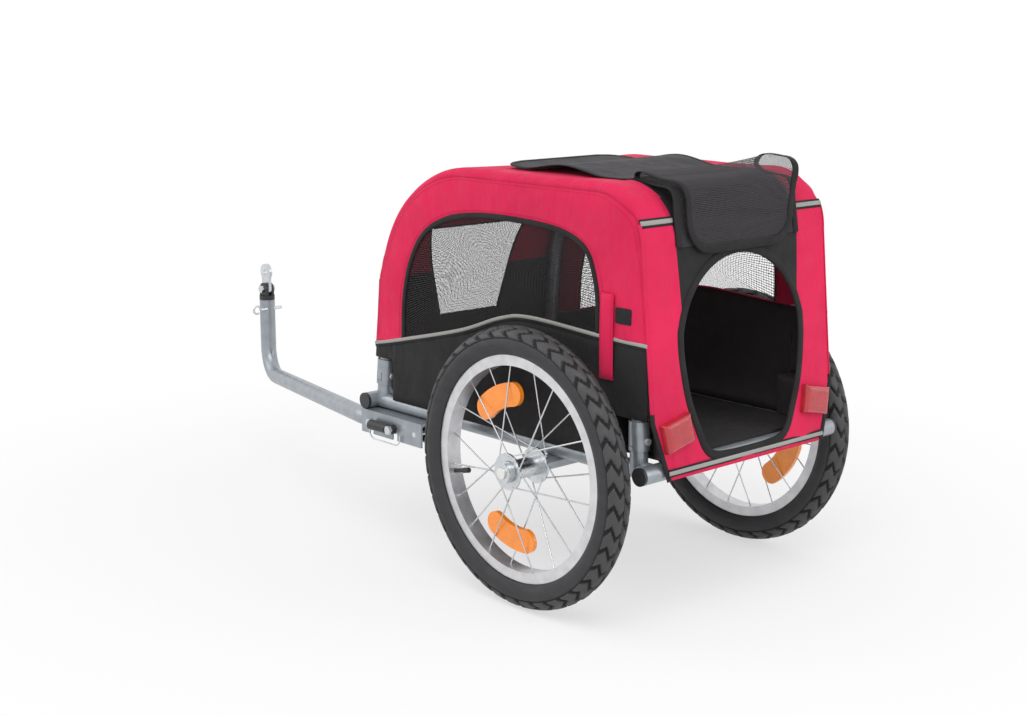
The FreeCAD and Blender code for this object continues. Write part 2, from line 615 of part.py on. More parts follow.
class DoorFold:
    """The folded door seen from the side: each leaf's start and its direction at rest."""

    def __init__(self):
        centre = hoop.rear_centre
        shell = v.hoop_rear_radius + SKIN
        clear = shell + v.hinge_stand / 2
        self.hinge = Vector(centre.x - shell - v.hinge_stand, 0, centre.z)
        self.rest_deg = [self.tangent(self.hinge, centre, clear)]
        self.roof_fold = self.hinge + self.along(0) * v.leaf_top
        self.rest_deg.append(self.tangent(self.roof_fold, centre, clear))
        out = Rotation(LEFT, -QUARTER_TURN_DEG).multVec(self.along(1))
        self.turn_fold = self.roof_fold + self.along(1) * v.leaf_roof + out * (v.leaf_layer / 2)
        self.rest_deg.append(self.rest_deg[1] + HALF_TURN_DEG)
        self.return_start = self.turn_fold + out * (v.leaf_layer / 2)
        side = Rotation(LEFT, -QUARTER_TURN_DEG).multVec(self.along(0))
        half_bend = math.radians(self.rest_deg[0] - self.rest_deg[1]) / 2
        self.outer_fold = self.roof_fold + (side + out).normalize() * (v.leaf_layer / math.cos(half_bend))
        self.rest_deg.append(self.rest_deg[0] + HALF_TURN_DEG)
        self.folds = [self.hinge, self.roof_fold, self.return_start, self.outer_fold]
        back = (self.outer_fold - self.return_start).Length
        self.lengths = [v.leaf_top, v.leaf_roof, back, v.leaf_top + v.hinge_stand]

    @staticmethod
    def tangent(point, centre, radius):
        """The direction from a point that just clears a round shoulder, from +X towards +Z."""
        gap = centre - point
        return math.degrees(math.atan2(gap.z, gap.x) + math.asin(radius / gap.Length))

    def along(self, index):
        """The direction of a leaf at rest."""
        turn = math.radians(self.rest_deg[index])
        return Vector(math.cos(turn), 0, math.sin(turn))


def door():
    """Four leaves of mesh from the hinge over the roof's edge and back; the last has round corners."""
    fold = DoorFold()
    half = v.leaf_width / 2
    tip = v.leaf_tip_width / 2
    names = ("door_leaf_hinge", "door_leaf_roof", "door_leaf_return", "door_leaf_tip")
    for index, name in enumerate(names):
        low = v.leaf_fold_gap
        high = fold.lengths[index] - v.leaf_fold_gap
        if name == "door_leaf_tip":
            inner = tip - v.leaf_corner
            bend = high - v.leaf_corner
            diagonal = v.leaf_corner * math.sin(math.radians(HALF_TURN_DEG / 4))
            outline = [line(Vector(tip, low), Vector(tip, bend)),
                       bow([Vector(tip, bend), Vector(inner + diagonal, bend + diagonal),
                            Vector(inner, high)]),
                       line(Vector(inner, high), Vector(-inner, high)),
                       bow([Vector(-inner, high), Vector(-inner - diagonal, bend + diagonal),
                            Vector(-tip, bend)]),
                       line(Vector(-tip, bend), Vector(-tip, low)),
                       line(Vector(-tip, low), Vector(tip, low))]
        else:
            end = tip if name == "door_leaf_return" else half
            outline = chain([Vector(half, low), Vector(end, high), Vector(-end, high), Vector(-half, low)])
        along = fold.along(index)
        across_leaf = LEFT.cross(along)
        thing = node(feature(name, slab(outline, UP * v.leaf_cloth)))
        thing.Placement = Placement(fold.folds[index] - across_leaf * (v.leaf_cloth / 2),
                                    Rotation(LEFT, along, across_leaf, "XYZ"))


def rain_flap():
    """The rain cover, thrown forward over the roof in loose waves."""
    start = Vector(hoop.rear_centre.x - v.flap_tail, 0, HOOP_Z + SKIN + v.cloth_gap + v.cloth / 2)
    crests = [start + Vector(along * v.flap_length, 0, rise * v.flap_wave)
              for along, rise in flap_crest_shares]
    low = spline([point - UP * (v.cloth / 2) for point in crests])
    high = spline([point + UP * (v.cloth / 2) for point in crests])
    ends = [line(low.Vertexes[at].Point, high.Vertexes[at].Point) for at in (0, -1)]
    profile = Part.Face(Part.Wire(Part.__sortEdges__([low, high] + ends)))
    thing = node(feature("rain_flap", profile.extrude(LEFT * v.flap_width)))
    thing.Placement = Placement(LEFT * (v.flap_shift - v.flap_width / 2), Rotation())


def rim_half_width():
    """The rim fills the tyre's mouth at its own outer edge, less the bead gap."""
    inside = v.tyre_section / 2 - v.tyre_wall
    drop = v.tyre_section / 2 - v.rim_sink
    return math.sqrt(inside ** 2 - drop ** 2) - v.bead_gap


def lens_outline():
    """The face of a spoke reflector: a bent bar with round ends, drawn from its first end."""
    middle = (REFLECTOR_INNER + REFLECTOR_OUTER) / 2
    end = v.reflector_width / 2
    first = math.asin(end / middle)
    last = math.radians(v.reflector_spread) - first

    def place(radius, turn):
        return Vector(radius * math.cos(turn), radius * math.sin(turn))

    half_turn = (first + last) / 2
    edges = [bow([place(REFLECTOR_OUTER, first), place(REFLECTOR_OUTER, half_turn),
                  place(REFLECTOR_OUTER, last)]),
             bow([place(REFLECTOR_OUTER, last), place(middle, last) + place(end, last + math.pi / 2),
                  place(REFLECTOR_INNER, last)]),
             bow([place(REFLECTOR_INNER, last), place(REFLECTOR_INNER, half_turn),
                  place(REFLECTOR_INNER, first)]),
             bow([place(REFLECTOR_INNER, first), place(middle, first) + place(end, first - math.pi / 2),
                  place(REFLECTOR_OUTER, first)])]
    return Part.Face(Part.Wire(edges))


def wheel(side, sign):
    """One wheel about its axle: tyre, inner tube with valve, rim, spokes, reflectors, hub, bearings."""
    out = LEFT * sign
    centre = AXLE + out * WHEEL_Y
    ring = "wheel_radius - tyre_section / 2"
    carcass = torus(f"tyre_{side}_carcass", ring, "tyre_section / 2", centre, LEFT)
    hollow = torus(f"tyre_{side}_hollow", ring, "tyre_section / 2 - tyre_wall", centre, LEFT)
    mouth = cylinder(f"tyre_{side}_mouth", "wheel_radius - tyre_section + rim_sink - seat_gap",
                     "tyre_section + 2 * overrun", centre - LEFT * (v.tyre_section / 2 + v.overrun), LEFT)
    node(cut(f"tyre_{side}", carcass, hollow, mouth))

    half = rim_half_width()
    edge = RIM_EDGE
    bed = edge - v.rim_depth + v.rim_skin

    def hoop_of(radius, half_width):
        return Part.makeCylinder(radius, 2 * half_width, centre - LEFT * half_width, LEFT)

    channel = hoop_of(edge + v.overrun, half - v.rim_skin).cut(hoop_of(bed, half))
    blank = hoop_of(edge, half).cut(hoop_of(edge - v.rim_depth, half + v.overrun)).cut(channel)
    valve_turn = math.radians(VALVE_ANGLE_DEG)
    inward = Vector(-math.cos(valve_turn), 0, -math.sin(valve_turn))
    seat_radius = v.wheel_radius - v.tyre_section / 2
    tube_section = v.tyre_section / 2 - v.tyre_wall - v.tube_room
    valve_root = centre - inward * (seat_radius - tube_section + v.tube_skin / 2)
    hole = cylinder(f"valve_hole_{side}", "valve_radius + slide_gap", "valve_reach", valve_root, inward)
    node(cut(f"rim_{side}", feature(f"rim_{side}_blank", blank), hole))

    skin = torus(f"inner_tube_{side}_skin", ring, "tyre_section / 2 - tyre_wall - tube_room", centre, LEFT)
    air = torus(f"inner_tube_{side}_air", ring, "tyre_section / 2 - tyre_wall - tube_room - tube_skin",
                centre, LEFT)
    stem = cylinder(f"valve_stem_{side}", "valve_radius", "valve_reach", valve_root, inward)
    cap = cylinder(f"valve_cap_{side}", "valve_radius * 4 / 3", "valve_cap",
                   valve_root + inward * (v.valve_reach - v.valve_cap), inward)
    node(fuse(f"inner_tube_{side}", cut(f"inner_tube_{side}_shell", skin, air), stem, cap))

    flange_y = v.hub_length / 2 - v.flange_margin
    hole_radius = v.flange_radius - v.flange_width
    spokes = []
    step = 2 * HALF_TURN_DEG / SPOKES_PER_FLANGE
    for face in (1, -1):
        for index in range(SPOKES_PER_FLANGE):
            rim_deg = step * index + (step / 4 if face > 0 else -step / 4)
            hub_deg = rim_deg + (SPOKE_LEAN_DEG if index % 2 else -SPOKE_LEAN_DEG)
            ends = []
            seat_y = face * (flange_y + (v.flange_width / 2 if index % 2 else -v.flange_width / 2))
            for radius, angle, y in ((hole_radius, hub_deg, seat_y), (edge - v.rim_depth, rim_deg, 0)):
                turn = math.radians(angle)
                ends.append(centre + Vector(radius * math.cos(turn), y, radius * math.sin(turn)))
            way = ends[1] - ends[0]
            spokes.append(Part.makeCylinder(v.spoke_radius, way.Length, ends[0], way))
    node(feature(f"spokes_{side}", Part.makeCompound(spokes)))

    # The reflectors lie between the two cones of spokes and touch both at their outer edge.
    share = (REFLECTOR_OUTER - hole_radius) / (edge - v.rim_depth - hole_radius)
    half_plate = (flange_y - v.flange_width / 2) * (1 - share) - v.spoke_radius - v.slide_gap
    plates = []
    for angle in REFLECTOR_ANGLES_DEG[side]:
        start = math.radians(angle - v.reflector_spread / 2)
        first = Vector(math.cos(start), 0, math.sin(start))
        turn = Rotation(first, first.cross(LEFT), LEFT * -1, "XYZ")
        base = centre + LEFT * half_plate
        thick = feature(f"reflector_plate_{side}_{angle}", lens_outline().extrude(UP * 2 * half_plate))
        thick.Placement = Placement(base, turn)
        plates.append(thick)
    node(group(f"spoke_reflectors_{side}", *plates))

    shell = cylinder(f"hub_{side}_shell", "hub_radius", "hub_length",
                     centre - LEFT * (v.hub_length / 2), LEFT)
    discs = []
    for face in (1, -1):
        discs.append(cylinder(f"hub_{side}_flange_{face}", "flange_radius", "flange_width",
                              centre + LEFT * (face * flange_y - v.flange_width / 2), LEFT))
    bore = cylinder(f"hub_{side}_bore", "bearing_radius", "hub_length + 2 * overrun",
                    centre - LEFT * (v.hub_length / 2 + v.overrun), LEFT)
    node(cut(f"hub_{side}", fuse(f"hub_{side}_blank", shell, *discs), bore))

    rings = []
    for face in (1, -1):
        start = centre + LEFT * (face * v.hub_length / 2)
        race = cylinder(f"bearing_{side}_race_{face}", "bearing_radius - seat_gap", "bearing_width",
                        start, LEFT * -face)
        bore = cylinder(f"bearing_{side}_bore_{face}", "axle_radius + seat_gap",
                        "bearing_width + 2 * overrun",
                        start + LEFT * (face * v.overrun), LEFT * -face)
        rings.append(cut(f"bearing_{side}_{face}", race, bore))
    node(group(f"bearings_{side}", *rings))


def axle(side, sign):
    """A plug-in axle with a flat head, and the push button that frees it."""
    out = LEFT * sign
    inner_end = AXLE + out * (beam_half_length() - v.axle_grip)
    face = WHEEL_Y + v.hub_length / 2 + v.slide_gap
    head_start = AXLE + out * face
    reach = (head_start - inner_end).Length
    rod = feature(f"axle_{side}_rod", Part.makeCylinder(v.axle_radius, reach, inner_end, out))
    head = cylinder(f"axle_{side}_head", "axle_head_radius", "axle_head_width", head_start, out)
    head_end = head_start + out * v.axle_head_width
    socket_hole = cylinder(f"axle_{side}_socket", "push_radius + slide_gap", "push_socket + overrun",
                           head_end + out * v.overrun, out * -1)
    node(cut(f"axle_{side}", fuse(f"axle_{side}_blank", rod, head), socket_hole))
    node(cylinder(f"axle_button_{side}", "push_radius", "push_seat + push_reach",
                  head_end - out * v.push_seat, out))


CHANNEL_HALF = v.channel_room / 2 + v.channel_plate
CHANNEL_TOP = RAIL_Z - TUBE_RADIUS


def across(place, height=None):
    """A point in the drawbar's upright plane at a place ahead of the wheel axle."""
    return Vector(v.axle_place + place, BAR_Y, BAR_Z if height is None else height)


def channel():
    """The channel under the left rail, with slots that let the locked drawbar drop out."""
    start = Vector(v.axle_place + v.channel_back, BAR_Y - CHANNEL_HALF, CHANNEL_LOW)
    blank = box("channel_blank", "channel_front - channel_back", "channel_room + 2 * channel_plate",
                "channel_drop - frame_tube / 2", start)
    room = box("channel_room_cut", "channel_front - channel_back + 2 * overrun", "channel_room",
               "channel_drop - frame_tube / 2 - channel_plate + overrun",
               Vector(start.x - v.overrun, BAR_Y - v.channel_room / 2, CHANNEL_LOW - v.overrun))
    drop = BAR_Z - CHANNEL_LOW
    slots = []
    for name, place, radius in (("lock", v.lock_place, v.bolt_radius),
                                ("stud", v.stud_place, v.bolt_radius)):
        # The piece swings down on an arc about the pivot, so its slot is wider on the pivot's side.
        arm = place - v.pivot_place
        swing = arm - math.sqrt(arm ** 2 - drop ** 2)
        reach = radius + v.slide_gap
        low = across(place - reach - swing, CHANNEL_LOW - v.overrun) - LEFT * (CHANNEL_HALF + v.overrun)
        slot = Part.makeBox(2 * reach + swing, 2 * (CHANNEL_HALF + v.overrun), drop + v.overrun, low)
        top = Part.makeCylinder(reach, 2 * (CHANNEL_HALF + v.overrun),
                                across(place) - LEFT * (CHANNEL_HALF + v.overrun), LEFT)
        slots.append(feature(f"channel_slot_{name}", slot.fuse(top)))
    pivot = cylinder("channel_pivot_hole", "bolt_radius + bolt_fit", "channel_room + 4 * channel_plate",
                     across(v.pivot_place) - LEFT * (v.channel_room / 2 + 2 * v.channel_plate), LEFT)
    node(cut("drawbar_channel", blank, room, pivot, *slots))


def hexagon(name, start, way):
    """A hexagon head or nut from a point along an axis."""
    thing = doc.addObject("Part::Prism", name)
    thing.setExpression("Circumradius", cells("nut_radius"))
    thing.setExpression("Height", cells("nut_width"))
    thing.Placement = Placement(start, Rotation(UP, way))
    return thing


def cross_bolt(name, place):
    """A bolt through the channel's plates, with its head on the inner side."""
    start = across(place) - LEFT * (CHANNEL_HALF + v.slide_gap)
    shank = cylinder(name + "_shank", "bolt_radius", "channel_room + 2 * channel_plate + 2 * slide_gap",
                     start, LEFT)
    return shank, hexagon(name + "_head", start, LEFT * -1)


def drawbar():
    """The bent drawbar with its pivot bolt, lock bolt, retaining wire and sprung plunger."""
    tail = across(v.pivot_place - v.draw_stub)
    knee = across(v.draw_knee)
    corner = Vector(v.axle_place + v.hitch_place, v.hitch_offset, v.hitch_knee)
    top = Vector(corner.x, corner.y, v.hitch_top)
    path = feature("drawbar_path", rounded_path([tail, knee, corner, top], [v.draw_bend, v.hitch_bend]))
    outside = sweep("drawbar_outside", path, "draw_tube / 2")
    bore = sweep("drawbar_bore", path, "draw_tube / 2 - draw_wall")
    tools = [bore]
    for name, place, radius in (("pivot", v.pivot_place, "bolt_radius + bolt_fit"),
                                ("lock", v.lock_place, "bolt_radius + seat_gap"),
                                ("stud", v.stud_place, "bolt_radius + seat_gap")):
        tools.append(cylinder(f"drawbar_{name}_hole", radius, "2 * draw_tube",
                              across(place) - LEFT * v.draw_tube, LEFT))
    groove = top - UP * v.groove_level
    pin_x = v.groove_radius + v.pin_radius + v.slide_gap
    tools.append(cylinder("drawbar_pin_hole", "pin_radius + pin_fit", "2 * draw_tube",
                          groove - AHEAD * pin_x - LEFT * v.draw_tube, LEFT))
    node(cut("drawbar", outside, *tools))
    node(fuse("pivot_bolt", *cross_bolt("pivot_bolt", v.pivot_place)))

    # The lock bolt carries a hexagon at both ends; a bent wire hangs under the outer one.
    face = BAR_Y + CHANNEL_HALF + v.slide_gap
    outer = Vector(v.axle_place + v.lock_place, face, BAR_Z)
    lock = fuse("lock_bolt", *cross_bolt("lock_bolt", v.lock_place), hexagon("lock_nut", outer, LEFT))
    flat = v.nut_radius * math.cos(math.radians(HALF_TURN_DEG / 6))
    wire_y = face + v.nut_width / 2
    under = BAR_Z - flat - v.slide_gap
    low = BAR_Z - v.wire_drop
    back_x = v.axle_place + v.wire_back
    points = [Vector(outer.x, wire_y, under), Vector(outer.x, wire_y, low),
              Vector(back_x, wire_y, low), Vector(back_x, wire_y, under)]
    loop = feature("lock_wire_path", rounded_path(points, [v.wire_bend, v.wire_bend]))
    node(group("lock_bolt_and_wire", lock, sweep("lock_wire", loop, "wire_radius")))

    # The clamp stud goes through the drawbar; its nut holds the lever's eye against the channel.
    stud_end = "channel_room + 2 * channel_plate + 3 * slide_gap + lever_width + nut_width"
    start = across(v.stud_place) - LEFT * (CHANNEL_HALF + v.slide_gap)
    stud = cylinder("clamp_stud_shank", "bolt_radius", stud_end, start, LEFT)
    eye_start = Vector(start.x, face, start.z)
    nut_start = eye_start + LEFT * (v.lever_width + v.slide_gap)
    head = hexagon("clamp_stud_head", start, LEFT * -1)
    node(fuse("clamp_stud", stud, head, hexagon("clamp_nut", nut_start, LEFT)))
    eye = cylinder("clamp_lever_eye", "lever_eye", "lever_width", eye_start, LEFT)
    grip = doc.addObject("Part::Cone", "clamp_lever_grip")
    grip.setExpression("Radius1", cells("grip_radius"))
    grip.setExpression("Radius2", cells("grip_tip"))
    grip.setExpression("Height", cells("grip_length"))
    grip.Placement = Placement(eye_start + AHEAD * v.grip_start + LEFT * v.grip_tip, Rotation(UP, AHEAD))
    bore = cylinder("clamp_lever_bore", "bolt_radius + bolt_fit", "4 * lever_width",
                    eye_start - LEFT * v.lever_width, LEFT)
    room = cylinder("clamp_lever_room", "nut_radius + slide_gap", "2 * lever_width",
                    eye_start + LEFT * v.lever_width, LEFT)
    node(cut("clamp_lever", fuse("clamp_lever_blank", eye, grip), bore, room))


def hitch():
    """The swivel in the drawbar's end, its pull pin, and the plate that goes on the towing axle."""
    top = Vector(v.axle_place + v.hitch_place, v.hitch_offset, v.hitch_top)
    plug_radius = "draw_tube / 2 - draw_wall - pin_fit"
    plug = cylinder("swivel_plug_bar", plug_radius, "swivel_plug + slide_gap", top - UP * v.swivel_plug)
    collar = cylinder("swivel_collar", "draw_tube / 2", "collar_height", top + UP * v.slide_gap)
    pivot = top + UP * (v.collar_height + v.pivot_rise)
    ear_y = v.plate_width / 2 + v.plate_gap
    ears = []
    for sign in SIDES.values():
        start = pivot + LEFT * (ear_y if sign > 0 else -ear_y - v.ear_width)
        foot = Vector(start.x - v.ear_radius, start.y, top.z + v.collar_height)
        ears.append(cylinder(f"ear_{sign}_eye", "ear_radius", "ear_width", start, LEFT))
        ears.append(box(f"ear_{sign}_root", "2 * ear_radius", "ear_width", "pivot_rise", foot))
    groove_base = top - UP * (v.groove_level + v.groove_width / 2)
    groove = cut("swivel_groove",
                 cylinder("groove_outer", "draw_tube", "groove_width", groove_base),
                 cylinder("groove_core", "groove_radius", "groove_width + 2 * overrun",
                          groove_base - UP * v.overrun))
    eye_hole = cylinder("swivel_eye_hole", "bolt_radius + seat_gap", "4 * ear_radius",
                        pivot - LEFT * 2 * v.ear_radius, LEFT)
    node(cut("hitch_swivel", fuse("swivel_blank", plug, collar, *ears), groove, eye_hole))

    reach = ear_y + v.ear_width + v.slide_gap
    shank = cylinder("hitch_bolt_shank", "bolt_radius",
                     "plate_width + 2 * plate_gap + 2 * ear_width + 2 * slide_gap",
                     pivot - LEFT * reach, LEFT)
    heads = [hexagon(f"hitch_bolt_end_{sign}", pivot + LEFT * (sign * reach), LEFT * sign)
             for sign in SIDES.values()]
    node(fuse("hitch_bolt", shank, *heads))

    plate_y = LEFT * (v.plate_width / 2)
    nose = pivot + UP * v.axle_rise
    lower = cylinder("plate_lower", "ear_radius", "plate_width", pivot - plate_y, LEFT)
    upper = cylinder("plate_upper", "plate_nose", "plate_width", nose - plate_y, LEFT)
    web = box("plate_web", "2 * ear_radius", "plate_width", "axle_rise",
              pivot - plate_y - AHEAD * v.ear_radius)
    holes = [cylinder("plate_pivot_hole", "bolt_radius + bolt_fit", "3 * plate_width",
                      pivot - plate_y * 3, LEFT),
             cylinder("plate_axle_hole", "axle_hole", "3 * plate_width", nose - plate_y * 3, LEFT)]
    node(cut("axle_plate", fuse("axle_plate_blank", lower, upper, web), *holes))

    axis = top - UP * v.groove_level - AHEAD * (v.groove_radius + v.pin_radius + v.slide_gap)
    shank = cylinder("hitch_pin_shank", "pin_radius", "pin_tail + pin_head", axis - LEFT * v.pin_tail, LEFT)
    eye = torus("hitch_pin_eye", "eye_radius", "eye_wire", axis + LEFT * (v.pin_head + v.eye_radius), AHEAD)
    node(fuse("hitch_pin", shank, eye))


base_frame()
axle_beam()
for side_name, side_sign in SIDES.items():
    for corner_place in ("front", "rear"):
        socket(corner_place, side_name, side_sign)
hoops()
floor()
side_walls()
roof_and_front()
rear_wall()
trim()
door()
rain_flap()
for side_name, side_sign in SIDES.items():
    wheel(side_name, side_sign)
    axle(side_name, side_sign)
channel()
drawbar()
hitch()

doc.recompute()
for thing in doc.Objects:
    if "Invalid" in thing.State or "Error" in thing.State:
        raise RuntimeError(f"{thing.Label} failed: {thing.State}")
for thing in nodes:
    if thing.Shape.isNull() or not thing.Shape.isValid() or not thing.Shape.Solids:
        raise RuntimeError(f"{thing.Label} has no valid solid")

os.makedirs("parts", exist_ok=True)
for thing in nodes:
    thing.Shape.exportStep(f"parts/{thing.Label}.step")
print(len(nodes), "sub-parts written")
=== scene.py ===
import math
import bmesh
import bpy
from mathutils import Matrix, Vector, noise


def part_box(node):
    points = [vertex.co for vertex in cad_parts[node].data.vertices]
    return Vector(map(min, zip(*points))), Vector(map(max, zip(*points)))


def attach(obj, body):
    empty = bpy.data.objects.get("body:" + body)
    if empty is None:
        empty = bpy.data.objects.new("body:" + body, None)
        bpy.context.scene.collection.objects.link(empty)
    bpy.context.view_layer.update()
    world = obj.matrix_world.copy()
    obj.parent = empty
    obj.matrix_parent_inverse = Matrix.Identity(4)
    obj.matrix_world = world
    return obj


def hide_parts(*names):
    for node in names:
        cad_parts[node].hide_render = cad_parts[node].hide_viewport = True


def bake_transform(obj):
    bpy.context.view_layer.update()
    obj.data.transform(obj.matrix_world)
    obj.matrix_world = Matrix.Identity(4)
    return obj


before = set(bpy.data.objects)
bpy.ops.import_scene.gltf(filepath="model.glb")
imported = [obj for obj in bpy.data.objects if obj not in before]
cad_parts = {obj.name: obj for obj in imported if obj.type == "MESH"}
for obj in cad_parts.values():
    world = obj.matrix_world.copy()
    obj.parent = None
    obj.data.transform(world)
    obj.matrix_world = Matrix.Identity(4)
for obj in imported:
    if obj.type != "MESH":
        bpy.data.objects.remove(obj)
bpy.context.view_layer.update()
SIDES = {"left": 1, "right": -1}

# The studio: a pale floor that fades into a white room, one large soft lamp above and behind the
# camera, a weaker one on the far side and a low one from the rear. The camera stands where the
# photograph was taken, behind and to the left of the trailer.
beam_low, beam_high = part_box("axle_beam")
AXLE_X = (beam_low[0] + beam_high[0]) / 2
AXLE_Z = (beam_low[2] + beam_high[2]) / 2
CAMERA_PLACE = (AXLE_X - 1.6162, 1.7197, 0.8155)
CAMERA_RIGHT = Vector((-0.6725, -0.7401, 0.0))
CAMERA_UP = Vector((0.1516, -0.1377, 0.9788))
CAMERA_BACK = Vector((-0.7244, 0.6582, 0.2048))
WHITE = (1, 1, 1, 1)
ROOM_LIGHT = 0.62
FLOOR_REACH = 14.0
SHADOW_TO, WHITE_FROM = 0.45, 1.3
NEAR_WHITE = 0.6


def put(name, data):
    """Puts a camera, a lamp or a mesh into the scene."""
    thing = bpy.data.objects.new(name, data)
    bpy.context.collection.objects.link(thing)
    return thing


def lamp(name, place, aim, size, power):
    """A square soft lamp that points at a place."""
    data = bpy.data.lights.new(name, "AREA")
    data.size = size
    data.energy = power
    thing = put(name, data)
    thing.location = place
    thing.rotation_euler = (Vector(aim) - Vector(place)).to_track_quat("-Z", "Y").to_euler()


def set_inputs(node, settings):
    """Sets a shader node's own inputs."""
    for socket, value in dict(settings).items():
        node.inputs[socket].default_value = value


def add_node(tree, kind, settings=(), links=()):
    """A shader node with some inputs set and others joined to outputs of other nodes."""
    node = tree.nodes.new("ShaderNode" + kind)
    set_inputs(node, settings)
    for socket, source in dict(links).items():
        tree.links.new(source, node.inputs[socket])
    return node


def worked_out(tree, operation, *terms):
    """The result of one step of arithmetic on numbers and outputs of other nodes."""
    node = add_node(tree, "Math")
    node.operation = operation
    for socket, term in zip(node.inputs, terms):
        if isinstance(term, float):
            socket.default_value = term
        else:
            tree.links.new(term, socket)
    return node.outputs[0]


def new_material(name, settings):
    """A material with its surface shader's inputs set."""
    material = bpy.data.materials.new(name)
    material.use_nodes = True
    shader = material.node_tree.nodes["Principled BSDF"]
    set_inputs(shader, settings)
    return material, material.node_tree, shader


def white_to_camera(tree, lit, glow):
    """Shows plain white to the camera, to mirrors and through glass, and the lit surface to other light."""
    path = add_node(tree, "LightPath").outputs
    seen = worked_out(tree, "MAXIMUM", path["Is Camera Ray"], path["Is Glossy Ray"])
    seen = worked_out(tree, "MAXIMUM", seen, path["Is Transmission Ray"])
    white = add_node(tree, glow, {"Color": WHITE, "Strength": 1.0})
    return add_node(tree, "MixShader", links={0: seen, 1: lit.outputs[0], 2: white.outputs[0]}).outputs[0]


camera_data = bpy.data.cameras.new("camera")
camera_data.sensor_width = 36.0
camera_data.lens = 57.456
camera = put("camera", camera_data)
camera.matrix_world = Matrix.Translation(CAMERA_PLACE) @ Matrix(
    (CAMERA_RIGHT, CAMERA_UP, CAMERA_BACK)).transposed().to_4x4()
bpy.context.scene.camera = camera
bpy.context.scene.view_settings.view_transform = "Standard"
lamp("key_lamp", (-1.6, 1.6, 3.0), (-0.2, 0.0, 0.3), 2.2, 46)
lamp("fill_lamp", (2.4, 1.8, 2.0), (0.0, 0.0, 0.3), 2.4, 20)
lamp("rear_lamp", (-2.6, -1.2, 1.3), (-0.3, 0.0, 0.35), 1.6, 14)

world = bpy.data.worlds.new("studio")
bpy.context.scene.world = world
world.use_nodes = True
room_tree = world.node_tree
room = room_tree.nodes["Background"]
set_inputs(room, {"Color": WHITE, "Strength": ROOM_LIGHT})
room_white = white_to_camera(room_tree, room, "Background")
room_tree.links.new(room_white, room_tree.nodes["World Output"].inputs["Surface"])

floor_mesh = bpy.data.meshes.new("studio_floor")
floor_corners = ((-1, -1), (1, -1), (1, 1), (-1, 1))
floor_mesh.from_pydata([(x * FLOOR_REACH, y * FLOOR_REACH, 0) for x, y in floor_corners], [], [(0, 1, 2, 3)])
floor = put("studio_floor", floor_mesh)
floor_paint, floor_tree, floor_shader = new_material("floor_paint", {
    "Base Color": (0.93, 0.93, 0.93, 1), "Roughness": 0.9, "Specular IOR Level": 0.1})
# Far from the trailer the camera sees the floor as the white room; near it the shadow stays.
floor_white = white_to_camera(floor_tree, floor_shader, "Emission")
reach = add_node(floor_tree, "VectorMath", links={0: add_node(floor_tree, "TexCoord").outputs["Object"]})
reach.operation = "LENGTH"
fade = add_node(floor_tree, "MapRange", {"From Min": SHADOW_TO, "From Max": WHITE_FROM, "To Min": NEAR_WHITE},
                {"Value": reach.outputs["Value"]})
fade.interpolation_type = "SMOOTHSTEP"
floor_mix = add_node(floor_tree, "MixShader", links={
    0: fade.outputs["Result"], 1: floor_shader.outputs[0], 2: floor_white})
floor_tree.links.new(floor_mix.outputs[0], floor_tree.nodes["Material Output"].inputs["Surface"])
floor_mesh.materials.append(floor_paint)


# Grey lacquered steel tube: the welded base, the four corner sockets, the hoops and roof bars under
# the cloth, the drawbar and its channel. The lacquer is smooth, with faint mottling and a few rubs.
def node_group(name, inputs, outputs):
    """An empty shader group with named sockets."""
    group = bpy.data.node_groups.new(name, "ShaderNodeTree")
    kinds = {"value": "NodeSocketFloat", "colour": "NodeSocketColor"}
    for socket, kind, start in inputs:
        made = group.interface.new_socket(socket, in_out="INPUT", socket_type=kinds[kind])
        made.default_value = start
    for socket, kind in outputs:
        group.interface.new_socket(socket, in_out="OUTPUT", socket_type=kinds[kind])
    return group, group.nodes.new("NodeGroupInput").outputs, group.nodes.new("NodeGroupOutput").inputs


def surface_place(tree):
    """The place on the part in metres, the same for every piece because all sit at the origin."""
    return add_node(tree, "TexCoord").outputs["Object"]


def noise_at(tree, scale, low, high, detail=3.0, stretch=(1.0, 1.0, 1.0)):
    """Noise between two values at a scale in bumps per metre, drawn out along an axis where asked."""
    place = add_node(tree, "Mapping", {"Scale": stretch}, {"Vector": surface_place(tree)}).outputs["Vector"]
    cloud = add_node(tree, "TexNoise", {"Scale": scale, "Detail": detail}, {"Vector": place})
    ends = {"From Min": 0.3, "From Max": 0.7, "To Min": low, "To Max": high}
    return add_node(tree, "MapRange", ends, {"Value": cloud.outputs["Fac"]}).outputs["Result"]


def tinted(tree, colour, factor):
    """A colour made lighter or darker by a factor."""
    grey = add_node(tree, "CombineColor", links={channel: factor for channel in ("Red", "Green", "Blue")})
    tint = add_node(tree, "Mix")
    tint.data_type = "RGBA"
    tint.blend_type = "MULTIPLY"
    set_inputs(tint, {"Factor": 1.0})
    tree.links.new(colour, tint.inputs["A"])
    tree.links.new(grey.outputs["Color"], tint.inputs["B"])
    return tint.outputs["Result"]


